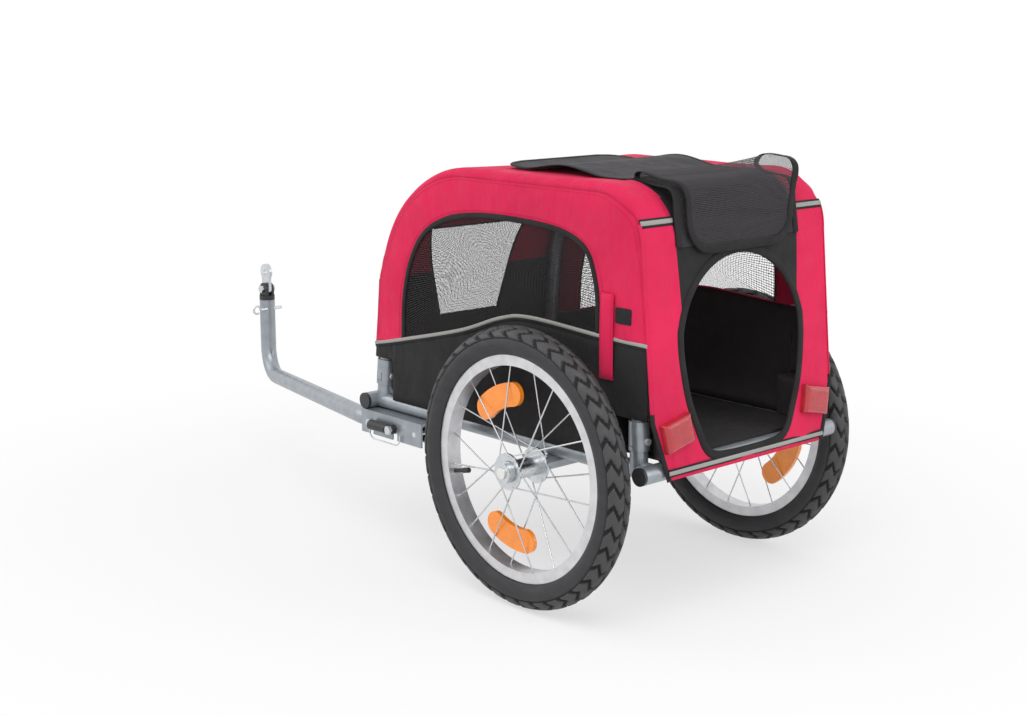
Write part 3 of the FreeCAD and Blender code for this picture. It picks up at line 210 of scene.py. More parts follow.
rubbed, rubbed_in, rubbed_out = node_group(
    "rubbed_finish",
    [("Colour", "colour", (0.5, 0.5, 0.5, 1)), ("Roughness", "value", 0.4), ("Spread", "value", 0.1)],
    [("Colour", "colour"), ("Roughness", "value"), ("Height", "value")])
mottle = noise_at(rubbed, 60.0, 0.9, 1.1)
streak = noise_at(rubbed, 25.0, -1.0, 1.0, 4.0, (1.0, 4.0, 4.0))
gloss = worked_out(rubbed, "MULTIPLY_ADD", streak, rubbed_in["Spread"], rubbed_in["Roughness"])
rubbed.links.new(tinted(rubbed, rubbed_in["Colour"], mottle), rubbed_out["Colour"])
rubbed.links.new(gloss, rubbed_out["Roughness"])
grain = add_node(rubbed, "TexNoise", {"Scale": 900.0, "Detail": 2.0}, {"Vector": surface_place(rubbed)})
rubbed.links.new(grain.outputs["Fac"], rubbed_out["Height"])


def grouped_material(name, group, finish, settings, bump, depth):
    """A material whose colour, roughness and relief come out of a shader group."""
    material, tree, shader = new_material(name, settings)
    made = tree.nodes.new("ShaderNodeGroup")
    made.node_tree = group
    set_inputs(made, finish)
    relief = add_node(tree, "Bump", {"Strength": bump, "Distance": depth}, {"Height": made.outputs["Height"]})
    tree.links.new(made.outputs["Colour"], shader.inputs["Base Color"])
    tree.links.new(made.outputs["Roughness"], shader.inputs["Roughness"])
    tree.links.new(relief.outputs["Normal"], shader.inputs["Normal"])
    return material


def rubbed_material(name, colour, roughness, change, metallic, bump, coat=0.0):
    """A smooth hard finish with faint mottling, uneven gloss and a fine grain."""
    return grouped_material(name, rubbed, {"Colour": (*colour, 1), "Roughness": roughness, "Spread": change},
                            {"Metallic": metallic, "Coat Weight": coat}, bump, 0.0004)


def dress(material, *names):
    """Gives CAD nodes a better material; their meshes stay as they are."""
    for name in names:
        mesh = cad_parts[name].data
        mesh.materials.clear()
        mesh.materials.append(material)


CORNERS = [f"{place}_{side}" for place in ("front", "rear") for side in SIDES]
grey_lacquer = rubbed_material("grey_lacquer", (0.33, 0.36, 0.39), 0.34, 0.06, 0.55, 0.12)
dress(grey_lacquer, "front_cross_tube", "rear_cross_tube", "side_rails", "axle_beam", "hoop_left",
      "hoop_right", "roof_bars", "drawbar", "drawbar_channel", *[f"socket_{corner}" for corner in CORNERS])

# Bright zinc and steel: bolts, nuts, wire, hubs, spokes, axles and the hitch plate; the snap buttons and
# the axle buttons are nickel.
zinc_plate = rubbed_material("zinc_plate", (0.62, 0.64, 0.66), 0.28, 0.08, 1.0, 0.15)
dress(zinc_plate, "pivot_bolt", "lock_bolt_and_wire", "clamp_stud", "hitch_bolt", "axle_plate", "hitch_pin",
      *[f"{name}_{side}" for name in ("hub", "bearings", "axle", "spokes") for side in SIDES])
nickel = rubbed_material("button_nickel", (0.78, 0.78, 0.76), 0.35, 0.05, 0.6, 0.1)
dress(nickel, "axle_button_left", "axle_button_right", *[f"snap_button_{corner}" for corner in CORNERS])

# Moulded black plastic: tube caps, the clamp lever's grip and the hitch swivel.
black_moulding = rubbed_material("black_moulding", (0.022, 0.023, 0.026), 0.48, 0.08, 0.0, 0.35)
dress(black_moulding, "tube_end_caps", "clamp_lever", "hitch_swivel")

# Rims of drawn aluminium with a satin face, and the rubber inner tubes that lie in them.
satin_rim = rubbed_material("satin_rim", (0.66, 0.66, 0.68), 0.36, 0.06, 0.75, 0.1)
dress(satin_rim, "rim_left", "rim_right")
tube_rubber = rubbed_material("tube_rubber", (0.03, 0.03, 0.032), 0.6, 0.05, 0.0, 0.2)
dress(tube_rubber, "inner_tube_left", "inner_tube_right")


# Tyres: black rubber with a smooth side wall, fine rings on it, and a tread of slanted blocks that
# meet at the middle and run down on the shoulders. Each is one open skin from bead to bead. The blocks'
# faces are a lighter rubber, and the grooves between them are painted near-black as painted shade.
TYRE_RADIUS = 0.200
TYRE_HALF = 0.023
TYRE_Y = 0.2354
TREAD_DEPTH = 0.0036
TREAD_PITCHES = 40
TREAD_SHARE = 0.52
AROUND = TREAD_PITCHES * 16
ACROSS = 76
BEAD = math.radians(138)
SHOULDER = math.radians(72)
PAINTED_TREAD = math.radians(69)
WALL_RINGS = math.radians(84), math.radians(112)
RING_HEIGHT = 0.0003


def held(value):
    """A value held between 0 and 1."""
    return min(1.0, max(0.0, value))


def tread(around, angle):
    """Height of the tread from 0 in a groove to 1 on a block, at a share of the way round and an angle
    round the tyre's section."""
    across = angle / math.pi * 1.35
    reach = abs(across) / TREAD_SHARE
    if reach > 1:
        return 0.0
    zigzag = abs((reach * 1.6) % 1.0 - 0.5) * 0.9
    phase = (around * TREAD_PITCHES + (0.5 if across > 0 else 0.0) + 0.35 * reach + zigzag) % 1.0
    gap = abs(phase - 0.5) * 2
    block = held(gap * 5.0 - 0.8)
    middle = held((reach - 0.05) * 20)
    edge = held((1.0 - reach) * 9)
    return min(block, middle) * edge


def tyre_section(around, angle):
    """Radius of the tyre's round section, less the tread's grooves or with the side wall's rings."""
    if abs(angle) < SHOULDER:
        return TYRE_HALF - TREAD_DEPTH * (1 - tread(around, angle))
    rings = RING_HEIGHT * math.sin(angle * 60) if WALL_RINGS[0] < abs(angle) < WALL_RINGS[1] else 0.0
    return TYRE_HALF - TREAD_DEPTH * 0.5 + rings


def finished(mesh, name, *materials, smooth=True):
    """Makes a piece of a mesh that is done, with its materials."""
    data = bpy.data.meshes.new(name)
    mesh.to_mesh(data)
    mesh.free()
    for material in materials:
        data.materials.append(material)
    if smooth:
        data.shade_smooth()
    return put(name, data)


tyre_rubber = rubbed_material("tyre_rubber", (0.028, 0.028, 0.031), 0.62, 0.07, 0.0, 0.5)
block_rubber = rubbed_material("block_rubber", (0.050, 0.050, 0.053), 0.55, 0.09, 0.0, 0.5)
groove_shade_rubber = rubbed_material("groove_shade_rubber", (0.008, 0.008, 0.009), 0.8, 0.05, 0.0, 0.2)
for side, sign in SIDES.items():
    centre = Vector((AXLE_X, sign * TYRE_Y, AXLE_Z))
    mesh = bmesh.new()
    rings = []
    for i in range(AROUND):
        turn = 2 * math.pi * i / AROUND
        out = Vector((math.cos(turn), 0, math.sin(turn)))
        ring = []
        for j in range(ACROSS + 1):
            angle = (2 * j / ACROSS - 1) * BEAD
            section = tyre_section(i / AROUND, angle)
            radius = TYRE_RADIUS - TYRE_HALF + section * math.cos(angle)
            ring.append(mesh.verts.new(centre + out * radius + Vector((0, section * math.sin(angle), 0))))
        rings.append(ring)
    for i in range(AROUND):
        after = rings[(i + 1) % AROUND]
        for j in range(ACROSS):
            face = mesh.faces.new((rings[i][j], rings[i][j + 1], after[j + 1], after[j]))
            angle = (2 * (j + 0.5) / ACROSS - 1) * BEAD
            # Each tread face is coloured by the tread's height: block faces get the lighter rubber, groove
            # faces the near-black rubber as painted shade.
            if abs(angle) < PAINTED_TREAD:
                face.material_index = 1 if tread((i + 0.5) / AROUND, angle) > 0.5 else 2
    bmesh.ops.recalc_face_normals(mesh, faces=mesh.faces)
    tyre = finished(mesh, f"tyre_skin_{side}", tyre_rubber, block_rubber, groove_shade_rubber)
    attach(tyre, f"wheel_{side}")
    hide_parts(f"tyre_{side}")

# Spoke reflectors: bent orange lenses with round ends, of clear-fronted plastic, clipped between the
# spokes. Fine prisms under the face break the light up into small squares; the light they throw back is a
# faint painted glow on the orange lens.
orange_lens = rubbed_material("orange_lens", (0.86, 0.24, 0.012), 0.16, 0.04, 0.0, 0.0, coat=0.6)
red_lens = rubbed_material("red_lens", (0.46, 0.018, 0.030), 0.18, 0.04, 0.0, 0.0, coat=0.6)
for lens in (orange_lens, red_lens):
    tree = lens.node_tree
    prism = add_node(tree, "TexVoronoi", {"Scale": 260.0, "Randomness": 0.0}, {"Vector": surface_place(tree)})
    prism.distance = "CHEBYCHEV"
    facets = add_node(tree, "Bump", {"Strength": 0.5, "Distance": 0.001},
                      {"Height": prism.outputs["Distance"]})
    tree.links.new(facets.outputs["Normal"], tree.nodes["Principled BSDF"].inputs["Normal"])
# A painted glow: the orange lens gives off a little light of its own in place of the light its prisms throw
# back.
set_inputs(orange_lens.node_tree.nodes["Principled BSDF"], {
    "Emission Color": (0.90, 0.27, 0.015, 1), "Emission Strength": 0.18})
dress(orange_lens, "spoke_reflectors_left", "spoke_reflectors_right")


# Cabin cover: coated woven cloth, red on the roof and the side frames, stretched over the hoops. Its
# outline from the side follows the hoops: a leaning front, a wide front bend, the top and a tight
# rear bend. The roof band turns over the hoops onto the side walls.
HOOP_TOP = 0.5865
FRONT_BEND = 0.190
REAR_BEND = 0.070
LEG_FRONT = AXLE_X + 0.384
LEG_REAR = AXLE_X - 0.166
RAIL_Z = 0.2215
LEAN = math.radians(5.5)
SKIN = 0.0129
SIDE_Y = 0.1882
CLOTH = 0.0014
BEND_Z = HOOP_TOP - FRONT_BEND + FRONT_BEND * math.sin(LEAN)
FRONT_CENTRE = Vector((LEG_FRONT - (BEND_Z - RAIL_Z) * math.tan(LEAN) - FRONT_BEND * math.cos(LEAN), 0,
                       HOOP_TOP - FRONT_BEND))
REAR_CENTRE = Vector((LEG_REAR + REAR_BEND, 0, HOOP_TOP - REAR_BEND))
REAR_FOOT = Vector((AXLE_X - 0.207, 0, RAIL_Z))
REAR_TOP = Vector((LEG_REAR - SKIN, 0, REAR_CENTRE.z))
REAR_UP = (REAR_TOP - REAR_FOOT).normalized()
REAR_OUT = Vector((-REAR_UP.z, 0, REAR_UP.x))


def front_edge(height, out=SKIN):
    """A point of the leaning front edge at a height."""
    return Vector((LEG_FRONT - (height - RAIL_Z) * math.tan(LEAN) + out / math.cos(LEAN), 0, height))


def rear_edge(height, out=0.0):
    """A point of the rear wall's outer face at a height, on the rear bend above the wall's straight run."""
    if height > REAR_TOP.z:
        rise = height - REAR_CENTRE.z
        way = Vector((-math.sqrt((REAR_BEND + SKIN) ** 2 - rise ** 2), 0, rise))
        return REAR_CENTRE + way + way.normalized() * out
    return REAR_FOOT + REAR_UP * ((height - RAIL_Z) / REAR_UP.z) + REAR_OUT * out


FRONT_ARC = (FRONT_BEND + SKIN) * (math.pi / 2 - LEAN)
TOP_RUN = FRONT_CENTRE.x - REAR_CENTRE.x
REAR_ARC = (REAR_BEND + SKIN) * math.pi / 2
ROOF_LENGTH = FRONT_ARC + TOP_RUN + REAR_ARC
SEAM_TURN = math.radians(25)
SEAM_Z = REAR_CENTRE.z + (REAR_BEND + SKIN) * math.sin(SEAM_TURN)
ROOF_END = ROOF_LENGTH - (REAR_BEND + SKIN) * SEAM_TURN


def heading(angle):
    """A direction in the upright plane, from ahead towards up."""
    return Vector((math.cos(angle), 0, math.sin(angle)))


def roof_point(distance, rise=0.0):
    """A point of the roof line by its distance from the front bend's foot, raised off the cloth."""
    if distance < FRONT_ARC:
        return FRONT_CENTRE + heading(LEAN + distance / (FRONT_BEND + SKIN)) * (FRONT_BEND + SKIN + rise)
    if distance < FRONT_ARC + TOP_RUN:
        return Vector((FRONT_CENTRE.x - (distance - FRONT_ARC), 0, HOOP_TOP + SKIN + rise))
    turn = math.pi / 2 + (distance - FRONT_ARC - TOP_RUN) / (REAR_BEND + SKIN)
    return REAR_CENTRE + heading(turn) * (REAR_BEND + SKIN + rise)


weave, weave_in, weave_out = node_group(
    "woven_cloth",
    [("Colour", "colour", (0.5, 0.5, 0.5, 1)), ("Shade", "value", 0.12), ("Crease", "value", 1.0)],
    [("Colour", "colour"), ("Height", "value"), ("Roughness", "value")])
faded = noise_at(weave, 9.0, 0.0, 1.0, 4.0)
fading = worked_out(weave, "MULTIPLY_ADD", faded, weave_in["Shade"], 0.94)
threads = add_node(weave, "TexVoronoi", {"Scale": 1100.0, "Randomness": 0.25},
                   {"Vector": surface_place(weave)})
folds = noise_at(weave, 16.0, 0.0, 1.0, stretch=(1.0, 1.0, 0.45))
crease = worked_out(weave, "MULTIPLY", folds, weave_in["Crease"])
weave.links.new(tinted(weave, weave_in["Colour"], fading), weave_out["Colour"])
relief = worked_out(weave, "MULTIPLY_ADD", threads.outputs["Distance"], 0.10, crease)
weave.links.new(relief, weave_out["Height"])
weave.links.new(noise_at(weave, 40.0, 0.62, 0.8), weave_out["Roughness"])


def cloth_material(name, colour, shade=0.12, crease=1.0):
    """Coated woven cloth with faint fading, soft creases and the weave's grain."""
    return grouped_material(name, weave, {"Colour": (*colour, 1), "Shade": shade, "Crease": crease},
                            {"Sheen Weight": 0.03, "Specular IOR Level": 0.22}, 0.7, 0.004)


def walked(points):
    """The distance walked so far at each of a run of points."""
    distances = [0.0]
    for a, b in zip(points, points[1:]):
        distances.append(distances[-1] + (b - a).length)
    return distances


def grid_piece(name, columns, rows, place, *materials, closed=False, flip=False):
    """A sheet of quads whose points come from a function of two shares, with its cloth measured out in
    metres; flip turns its outer face round."""
    mesh = bmesh.new()
    measure = mesh.loops.layers.uv.new("cloth_metres")
    starts = range(columns if closed else columns + 1)
    points = [[place(i / columns, j / rows) for j in range(rows + 1)] for i in starts]
    lines = [[mesh.verts.new(point) for point in line] for line in points]
    along = walked([points[i % len(points)][rows // 2] for i in range(columns + 1)])
    across = walked(points[len(points) // 2])
    for i in range(columns):
        for j in range(rows):
            corners = [(i, j), (i + 1, j), (i + 1, j + 1), (i, j + 1)]
            if flip:
                corners.reverse()
            face = mesh.faces.new([lines[column % len(lines)][row] for column, row in corners])
            for loop, (column, row) in zip(face.loops, corners):
                loop[measure].uv = along[column], across[row]
    bmesh.ops.remove_doubles(mesh, verts=mesh.verts, dist=1e-5)
    return finished(mesh, name, *materials)


def thicken(thing, thickness, *materials):
    """Gives a sheet its thickness; its materials come in pairs, outer face and inner face."""
    for material in materials:
        thing.data.materials.append(material)
    solid = thing.modifiers.new("thickness", "SOLIDIFY")
    solid.thickness = thickness
    solid.offset = 0.0
    solid.material_offset = 1
    solid.material_offset_rim = 0


red_cloth = cloth_material("red_cloth", (0.72, 0.017, 0.088), 0.16, 2.4)
red_back = cloth_material("red_back", (0.42, 0.012, 0.050))
dark_lining = cloth_material("dark_lining", (0.030, 0.026, 0.028), 0.2)
black_cloth = cloth_material("black_cloth", (0.017, 0.016, 0.017), 0.3)
RED_AND_BLACK = red_cloth, red_back, black_cloth, dark_lining
BLACK_INDEX = 2
ROLL = 0.012
ROLL_END = 0.0022
ROLL_TAPER = 0.05
ROOF_SAG = 0.0035
ROOF_RIPPLE = 0.0016
BLACK_HALF = 0.128
BLACK_AHEAD = 0.02


def roll_at(distance):
    """The radius of the roof band's rolled side edge, which runs out to a crease at both ends."""
    near = held(min(distance, ROOF_END - distance) / ROLL_TAPER)
    return ROLL_END + (ROLL - ROLL_END) * near * near * (3 - 2 * near)


def roof_cloth(u, v):
    """The roof band: along from front to rear, across from the right wall over to the left one."""
    distance = u * ROOF_END
    roll = roll_at(distance)
    half = SIDE_Y - roll
    walk = (v - 0.5) * 2 * (half + roll * math.pi / 2)
    side = 1 if walk > 0 else -1
    flat = min(abs(walk), half)
    turn = (abs(walk) - flat) / roll
    y = side * (flat + roll * math.sin(turn))
    drop = roll * (1 - math.cos(turn))
    sag = ROOF_SAG * held(1 - (walk / half) ** 2) * math.sin(math.pi * min(1.0, distance / FRONT_ARC * 0.8))
    ends = min(1.0, min(distance, ROOF_END - distance) / 0.03)
    ripple = ROOF_RIPPLE * noise.noise(Vector((distance * 14, walk * 9, 0.3))) * (1 - turn / 2) * ends
    point = roof_point(distance, -drop - sag + ripple)
    return Vector((point.x, y, point.z))


# The front window's edges: half its width at its foot and at its top, and their heights.
WINDOW_FOOT = Vector((0, 0.0630, 0.3401))
WINDOW_TOP = Vector((0, 0.1031, 0.4916))
WINDOW_EDGE = WINDOW_TOP - WINDOW_FOOT


def window_half(z):
    """Half the front window's width at a height."""
    return WINDOW_FOOT.y + WINDOW_EDGE.y * (z - WINDOW_FOOT.z) / WINDOW_EDGE.z


def cut_window(thing):
    """Cuts the front window's opening out of a sheet."""
    mesh = bmesh.new()
    mesh.from_mesh(thing.data)
    up = Vector((0, 0, 1))
    for place, normal in ((WINDOW_FOOT, up), (WINDOW_TOP, up),
                          (WINDOW_FOOT, Vector((0, WINDOW_EDGE.z, -WINDOW_EDGE.y))),
                          (Vector((0, -WINDOW_FOOT.y, WINDOW_FOOT.z)),
                           Vector((0, WINDOW_EDGE.z, WINDOW_EDGE.y)))):
        whole = mesh.verts[:] + mesh.edges[:] + mesh.faces[:]
        bmesh.ops.bisect_plane(mesh, geom=whole, plane_co=place, plane_no=normal)
    gone = []
    for face in mesh.faces:
        middle = face.calc_center_median()
        level = middle.x > FRONT_CENTRE.x and WINDOW_FOOT.z < middle.z < WINDOW_TOP.z
        if level and abs(middle.y) < window_half(middle.z):
            gone.append(face)
    bmesh.ops.delete(mesh, geom=gone, context="FACES")
    mesh.to_mesh(thing.data)
    mesh.free()
    thing.data.shade_smooth()


roof = grid_piece("roof_cloth", 96, 48, roof_cloth, flip=True)
cut_window(roof)
thicken(roof, CLOTH, *RED_AND_BLACK)
for face in roof.data.polygons:
    if face.center.x < REAR_CENTRE.x + BLACK_AHEAD and abs(face.center.y) < BLACK_HALF:
        face.material_index = BLACK_INDEX
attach(roof, "chassis")
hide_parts("roof_cover")


# Side walls: a red frame above a wavy seam, an open mesh window in it, and a black skirt below the
# seam down to the rail. The skirt is cut back at both ends to leave the corner sockets free.
CABIN_LENGTH = LEG_FRONT - LEG_REAR
CABIN_HEIGHT = HOOP_TOP - RAIL_Z


def side_share(along, up):
    """A point of the side wall from its shares of the cabin's length and height."""
    return Vector((LEG_REAR + along * CABIN_LENGTH, 0, RAIL_Z + up * CABIN_HEIGHT))


def even(points, count):
    """Points spaced evenly along a run of points, ends kept."""
    lengths = walked(points)
    spaced = []
    at = 0
    for step in range(count + 1):
        goal = lengths[-1] * step / count
        while at < len(points) - 2 and lengths[at + 1] < goal:
            at += 1
        run = lengths[at + 1] - lengths[at]
        spaced.append(points[at].lerp(points[at + 1], (goal - lengths[at]) / run if run else 0.0))
    return spaced


def smooth_line(points, count):
    """Evenly spaced points on a smooth curve through a few points."""
    ends = [points[0] * 2 - points[1]] + list(points) + [points[-1] * 2 - points[-2]]
    fine = []
    for before, start, end, after in zip(ends, ends[1:], ends[2:], ends[3:]):
        for step in range(24):
            t = step / 24
            fine.append(0.5 * (2 * start + (end - before) * t
                               + (2 * before - 5 * start + 4 * end - after) * t * t
                               + (3 * start - before - 3 * end + after) * t ** 3))
    fine.append(Vector(points[-1]))
    return even(fine, count)


SPAN = 40
WAVE_CREST = (0.362, 0.495), (0.476, 0.470), (0.636, 0.388)
wave_rear = rear_edge(side_share(0, 0.4725).z)
wave_front = front_edge(side_share(1, 0.255).z)
wave_shares = (0.113, 0.478), *WAVE_CREST, (0.895, 0.292)
wave_points = [wave_rear] + [side_share(*share) for share in wave_shares] + [wave_front]


def roof_line(start, end, count):
    """Points of the side wall's upper edge, where the roof band's roll meets it."""
    places = [start + (end - start) * step / count for step in range(count + 1)]
    return [roof_point(place, -roll_at(place)) for place in places]


front_split = FRONT_ARC * 0.55
rear_split = FRONT_ARC + TOP_RUN + REAR_ARC * 0.45
front_run = even([wave_front] + roof_line(0.0, front_split, 24), SPAN)
top_run = even(roof_line(front_split, rear_split, 60), SPAN)
rear_run = even(roof_line(rear_split, ROOF_LENGTH, 24) + [rear_edge(REAR_TOP.z - 0.006), wave_rear], SPAN)
frame_loop = smooth_line(wave_points, SPAN) + front_run[1:] + top_run[1:] + rear_run[1:-1]

SILL_LIFT = Vector((0, 0, 0.002))
sill = smooth_line([side_share(0.1236, 0.482)] + [side_share(*share) + SILL_LIFT for share in WAVE_CREST] + [
    side_share(0.885, 0.302)], SPAN)
window_upper = smooth_line([sill[-1]] + [side_share(*share) for share in (
    (0.877, 0.48), (0.845, 0.640), (0.785, 0.760), (0.695, 0.827), (0.590, 0.856), (0.476, 0.864),
    (0.300, 0.853), (0.212, 0.826), (0.160, 0.775), (0.134, 0.68), (0.1255, 0.600))] + [sill[0]], 3 * SPAN)
window_loop = sill + window_upper[1:-1]


def loop_at(loop, share):
    """A point of a closed loop at a share of its points."""
    place = share * len(loop)
    index = int(place) % len(loop)
    return loop[index].lerp(loop[(index + 1) % len(loop)], place - int(place))


TAPE_OUTLINE = ((-0.5, 0), (-0.395, 0.7), (-0.22, 1.0), (0.22, 1.0), (0.395, 0.7), (0.5, 0), (0.3, -0.25),
                (-0.3, -0.25))


def facing(out, point):
    """The way a trim faces at a point: one direction, or a function of the point."""
    return (out(point) if callable(out) else out).normalized()


def ribbon(name, path, width, thickness, out, material, closed=False):
    """A flat tape with soft edges along a path, facing out."""
    mesh = bmesh.new()
    rings = []
    count = len(path)
    for index, point in enumerate(path):
        after = path[(index + 1) % count] if closed or index < count - 1 else point
        before = path[index - 1] if closed or index > 0 else point
        normal = facing(out, point)
        across = (after - before).normalized().cross(normal).normalized()
        rings.append([mesh.verts.new(point + across * (a * width) + normal * (b * thickness))
                      for a, b in TAPE_OUTLINE])
    for index in range(count if closed else count - 1):
        after = rings[(index + 1) % count]
        for k in range(len(TAPE_OUTLINE)):
            other = (k + 1) % len(TAPE_OUTLINE)
            mesh.faces.new((rings[index][k], rings[index][other], after[other], after[k]))
    if not closed:
        mesh.faces.new(rings[0])
        mesh.faces.new(reversed(rings[-1]))
    bmesh.ops.recalc_face_normals(mesh, faces=mesh.faces)
    return finished(mesh, name, material)


STITCH_HALF = 0.00045
STITCH_HEIGHT = 0.0005


def stitch_row(name, path, step, out, lift):
    """A row of small raised stitches of red thread along a path."""
    path = even(path, max(2, int(walked(path)[-1] / step)))
    mesh = bmesh.new()
    for a, b in zip(path, path[1:]):
        along = (b - a) * 0.32
        normal = facing(out, a)
        across = along.cross(normal).normalized() * STITCH_HALF
        middle = a.lerp(b, 0.5)
        low = (-along - across, along - across, along + across, across - along)
        base = [mesh.verts.new(middle + way + normal * lift) for way in low]
        peak = [mesh.verts.new(middle + along * s + normal * (lift + STITCH_HEIGHT)) for s in (-0.6, 0.6)]
        for corners in ((base[0], base[1], peak[1], peak[0]), (base[2], base[3], peak[0], peak[1]),
                        (base[1], base[2], peak[1]), (base[3], base[0], peak[0])):
            mesh.faces.new(corners)
    return finished(mesh, name, red_thread, smooth=False)


def net_material(name, colour, cell, hole):
    """Open knitted net: its round holes, set out in rows on the measured cloth, are seen through."""
    material, tree, shader = new_material(name, {
        "Base Color": (*colour, 1), "Roughness": 0.7, "Specular IOR Level": 0.25})
    holes = add_node(tree, "TexVoronoi", {"Scale": 1.0 / cell, "Randomness": 0.12},
                     {"Vector": add_node(tree, "TexCoord").outputs["UV"]})
    holes.voronoi_dimensions = "2D"
    thread = worked_out(tree, "GREATER_THAN", holes.outputs["Distance"], hole)
    tree.links.new(thread, shader.inputs["Alpha"])
    return material


black_net = net_material("black_net", (0.034, 0.033, 0.035), 0.0021, 0.44)
binding_tape = cloth_material("binding_tape", (0.016, 0.015, 0.016), 0.25, 0.2)
grey_piping = cloth_material("grey_piping", (0.36, 0.36, 0.34), 0.15, 0.1)
red_thread = cloth_material("red_thread", (0.60, 0.012, 0.07), 0.1, 0.0)
LEDGE_Z = RAIL_Z + 0.071
SKIRT_Z = RAIL_Z + 0.0075
CORNER_INSET = 0.036
SKIRT_REAR, SKIRT_FRONT = LEG_REAR + CORNER_INSET, LEG_FRONT - CORNER_INSET
SKIRT_IN = 0.0003
NET_IN = 0.0012
NET_SLACK = 0.003
NET_MIDDLE = side_share(0.5, 0.66)
FRAME_SWELL = 0.0022
SEAM_STEPS = 320
STITCH_STEP = 0.0042


def on_wall(sign, points, lift=0.0):
    """Moves points of the outline onto one side's wall."""
    return [Vector((point.x, sign * (SIDE_Y + lift), point.z)) for point in points]


def frame_cloth(sign, u, v):
    """The red frame from its outer edge in to the window, a little full."""
    point = loop_at(frame_loop, u).lerp(loop_at(window_loop, u), v)
    swell = FRAME_SWELL * math.sin(math.pi * v) * (0.7 + 0.6 * noise.noise(point * 11))
    return on_wall(sign, [point], swell - NET_IN * v)[0]


def net_cloth(sign, u, v):
    """The window's net from its edge to its middle, a little slack."""
    point = loop_at(window_loop, u).lerp(NET_MIDDLE, v)
    return on_wall(sign, [point], -NET_IN - NET_SLACK * math.sin(math.pi / 2 * v))[0]


wave_fine = smooth_line(wave_points, 72)
skirt_columns = sorted({round(point.x, 5) for point in wave_fine} | {
    SKIRT_REAR, SKIRT_REAR - 1e-4, SKIRT_FRONT, SKIRT_FRONT + 1e-4})


def wave_height(x):
    """The wave seam's height at a place along the wall."""
    for a, b in zip(wave_fine, wave_fine[1:]):
        if a.x <= x <= b.x:
            return a.z + (b.z - a.z) * (x - a.x) / max(b.x - a.x, 1e-9)
    return wave_fine[0].z if x < wave_fine[0].x else wave_fine[-1].z


def skirt_cloth(sign, u, v):
    """The skirt from the wave seam down to the rail, or to the ledge over the sockets."""
    x = skirt_columns[round(u * (len(skirt_columns) - 1))]
    top = wave_height(x)
    foot = SKIRT_Z if SKIRT_REAR <= x <= SKIRT_FRONT else LEDGE_Z
    z = top + (foot - top) * v
    ripple = 0.0015 * noise.noise(Vector((x * 22, z * 7, sign))) * math.sin(math.pi * min(1, v + 0.15))
    if x < LEG_REAR:
        x = max(x, rear_edge(z).x)
    return Vector((x, sign * (SIDE_Y - SKIRT_IN + ripple), z))


def frame_run(first, last, share):
    """Points round the frame, a share of the way from its outer edge in to the window."""
    steps = [i / SEAM_STEPS for i in range(first, last)]
    return [loop_at(frame_loop, step).lerp(loop_at(window_loop, step), share) for step in steps]


piping_line = smooth_line(wave_points, 80)
under_line = [point + Vector((0, 0, -0.0042)) for point in piping_line]
window_edge = window_loop[SPAN:] + [window_loop[0]]
window_seam = frame_run(80, 321, 0.86)
roof_seam = frame_run(84, 316, 0.06)
for side, sign in SIDES.items():
    out = Vector((0, sign, 0))
    piece = grid_piece(f"side_frame_{side}", 4 * SPAN, 8, lambda u, v: frame_cloth(sign, u, v),
                       closed=True, flip=sign > 0)
    thicken(piece, CLOTH, red_cloth, red_back)
    net = grid_piece(f"window_net_{side}", 4 * SPAN, 10, lambda u, v: net_cloth(sign, u, v), black_net,
                     closed=True)
    skirt = grid_piece(f"side_skirt_{side}", len(skirt_columns) - 1, 10, lambda u, v: skirt_cloth(sign, u, v),
                       flip=sign < 0)
    thicken(skirt, CLOTH, black_cloth, dark_lining)
    trims = [
        ribbon(f"wave_piping_{side}", on_wall(sign, piping_line, 0.0006), 0.0058, 0.0022, out, grey_piping),
        ribbon(f"wave_binding_{side}", on_wall(sign, under_line, 0.0002), 0.005, 0.0016, out, binding_tape),
        ribbon(f"window_binding_{side}", on_wall(sign, window_edge, -0.0004), 0.0085, 0.0020, out,
               binding_tape),
        stitch_row(f"window_stitches_{side}", on_wall(sign, window_seam), STITCH_STEP, out, 0.0008),
        stitch_row(f"roof_stitches_{side}", on_wall(sign, roof_seam), STITCH_STEP, out, 0.0010)]
    for thing in (piece, net, skirt, *trims):
        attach(thing, "chassis")
    if side == "left":
        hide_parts("side_frames")
        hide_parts("window_panes")
        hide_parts("side_skirts")

# Side straps: short red webbing loops sewn to the wave seam near the rear, that hang over the skirt.
strap_low, strap_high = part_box("side_straps")
STRAP_X = (strap_low[0] + strap_high[0]) / 2
STRAP_STEPS = 12
STRAP_LIFT, STRAP_SWELL = 0.0034, 0.0008
STRAP_THICK = 0.0018
STRAP_SEAM = 0.010
for side, sign in SIDES.items():
    out = Vector((0, sign, 0))
    path = [Vector((STRAP_X, sign * (SIDE_Y + STRAP_LIFT + STRAP_SWELL * math.sin(math.pi * i / STRAP_STEPS)),
                    strap_high[2] - (strap_high[2] - strap_low[2]) * i / STRAP_STEPS))
            for i in range(STRAP_STEPS + 1)]
    strap = ribbon(f"side_strap_{side}", path, strap_high[0] - strap_low[0], STRAP_THICK, out, red_cloth)
    edges = [stitch_row(f"strap_stitches_{side}_{row}", [p + Vector((shift, 0, 0)) for p in path], 0.004, out,
                        STRAP_THICK) for row, shift in (("a", -STRAP_SEAM), ("b", STRAP_SEAM))]
    for thing in (strap, *edges):
        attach(thing, "chassis")
    if side == "left":
        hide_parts("side_straps")

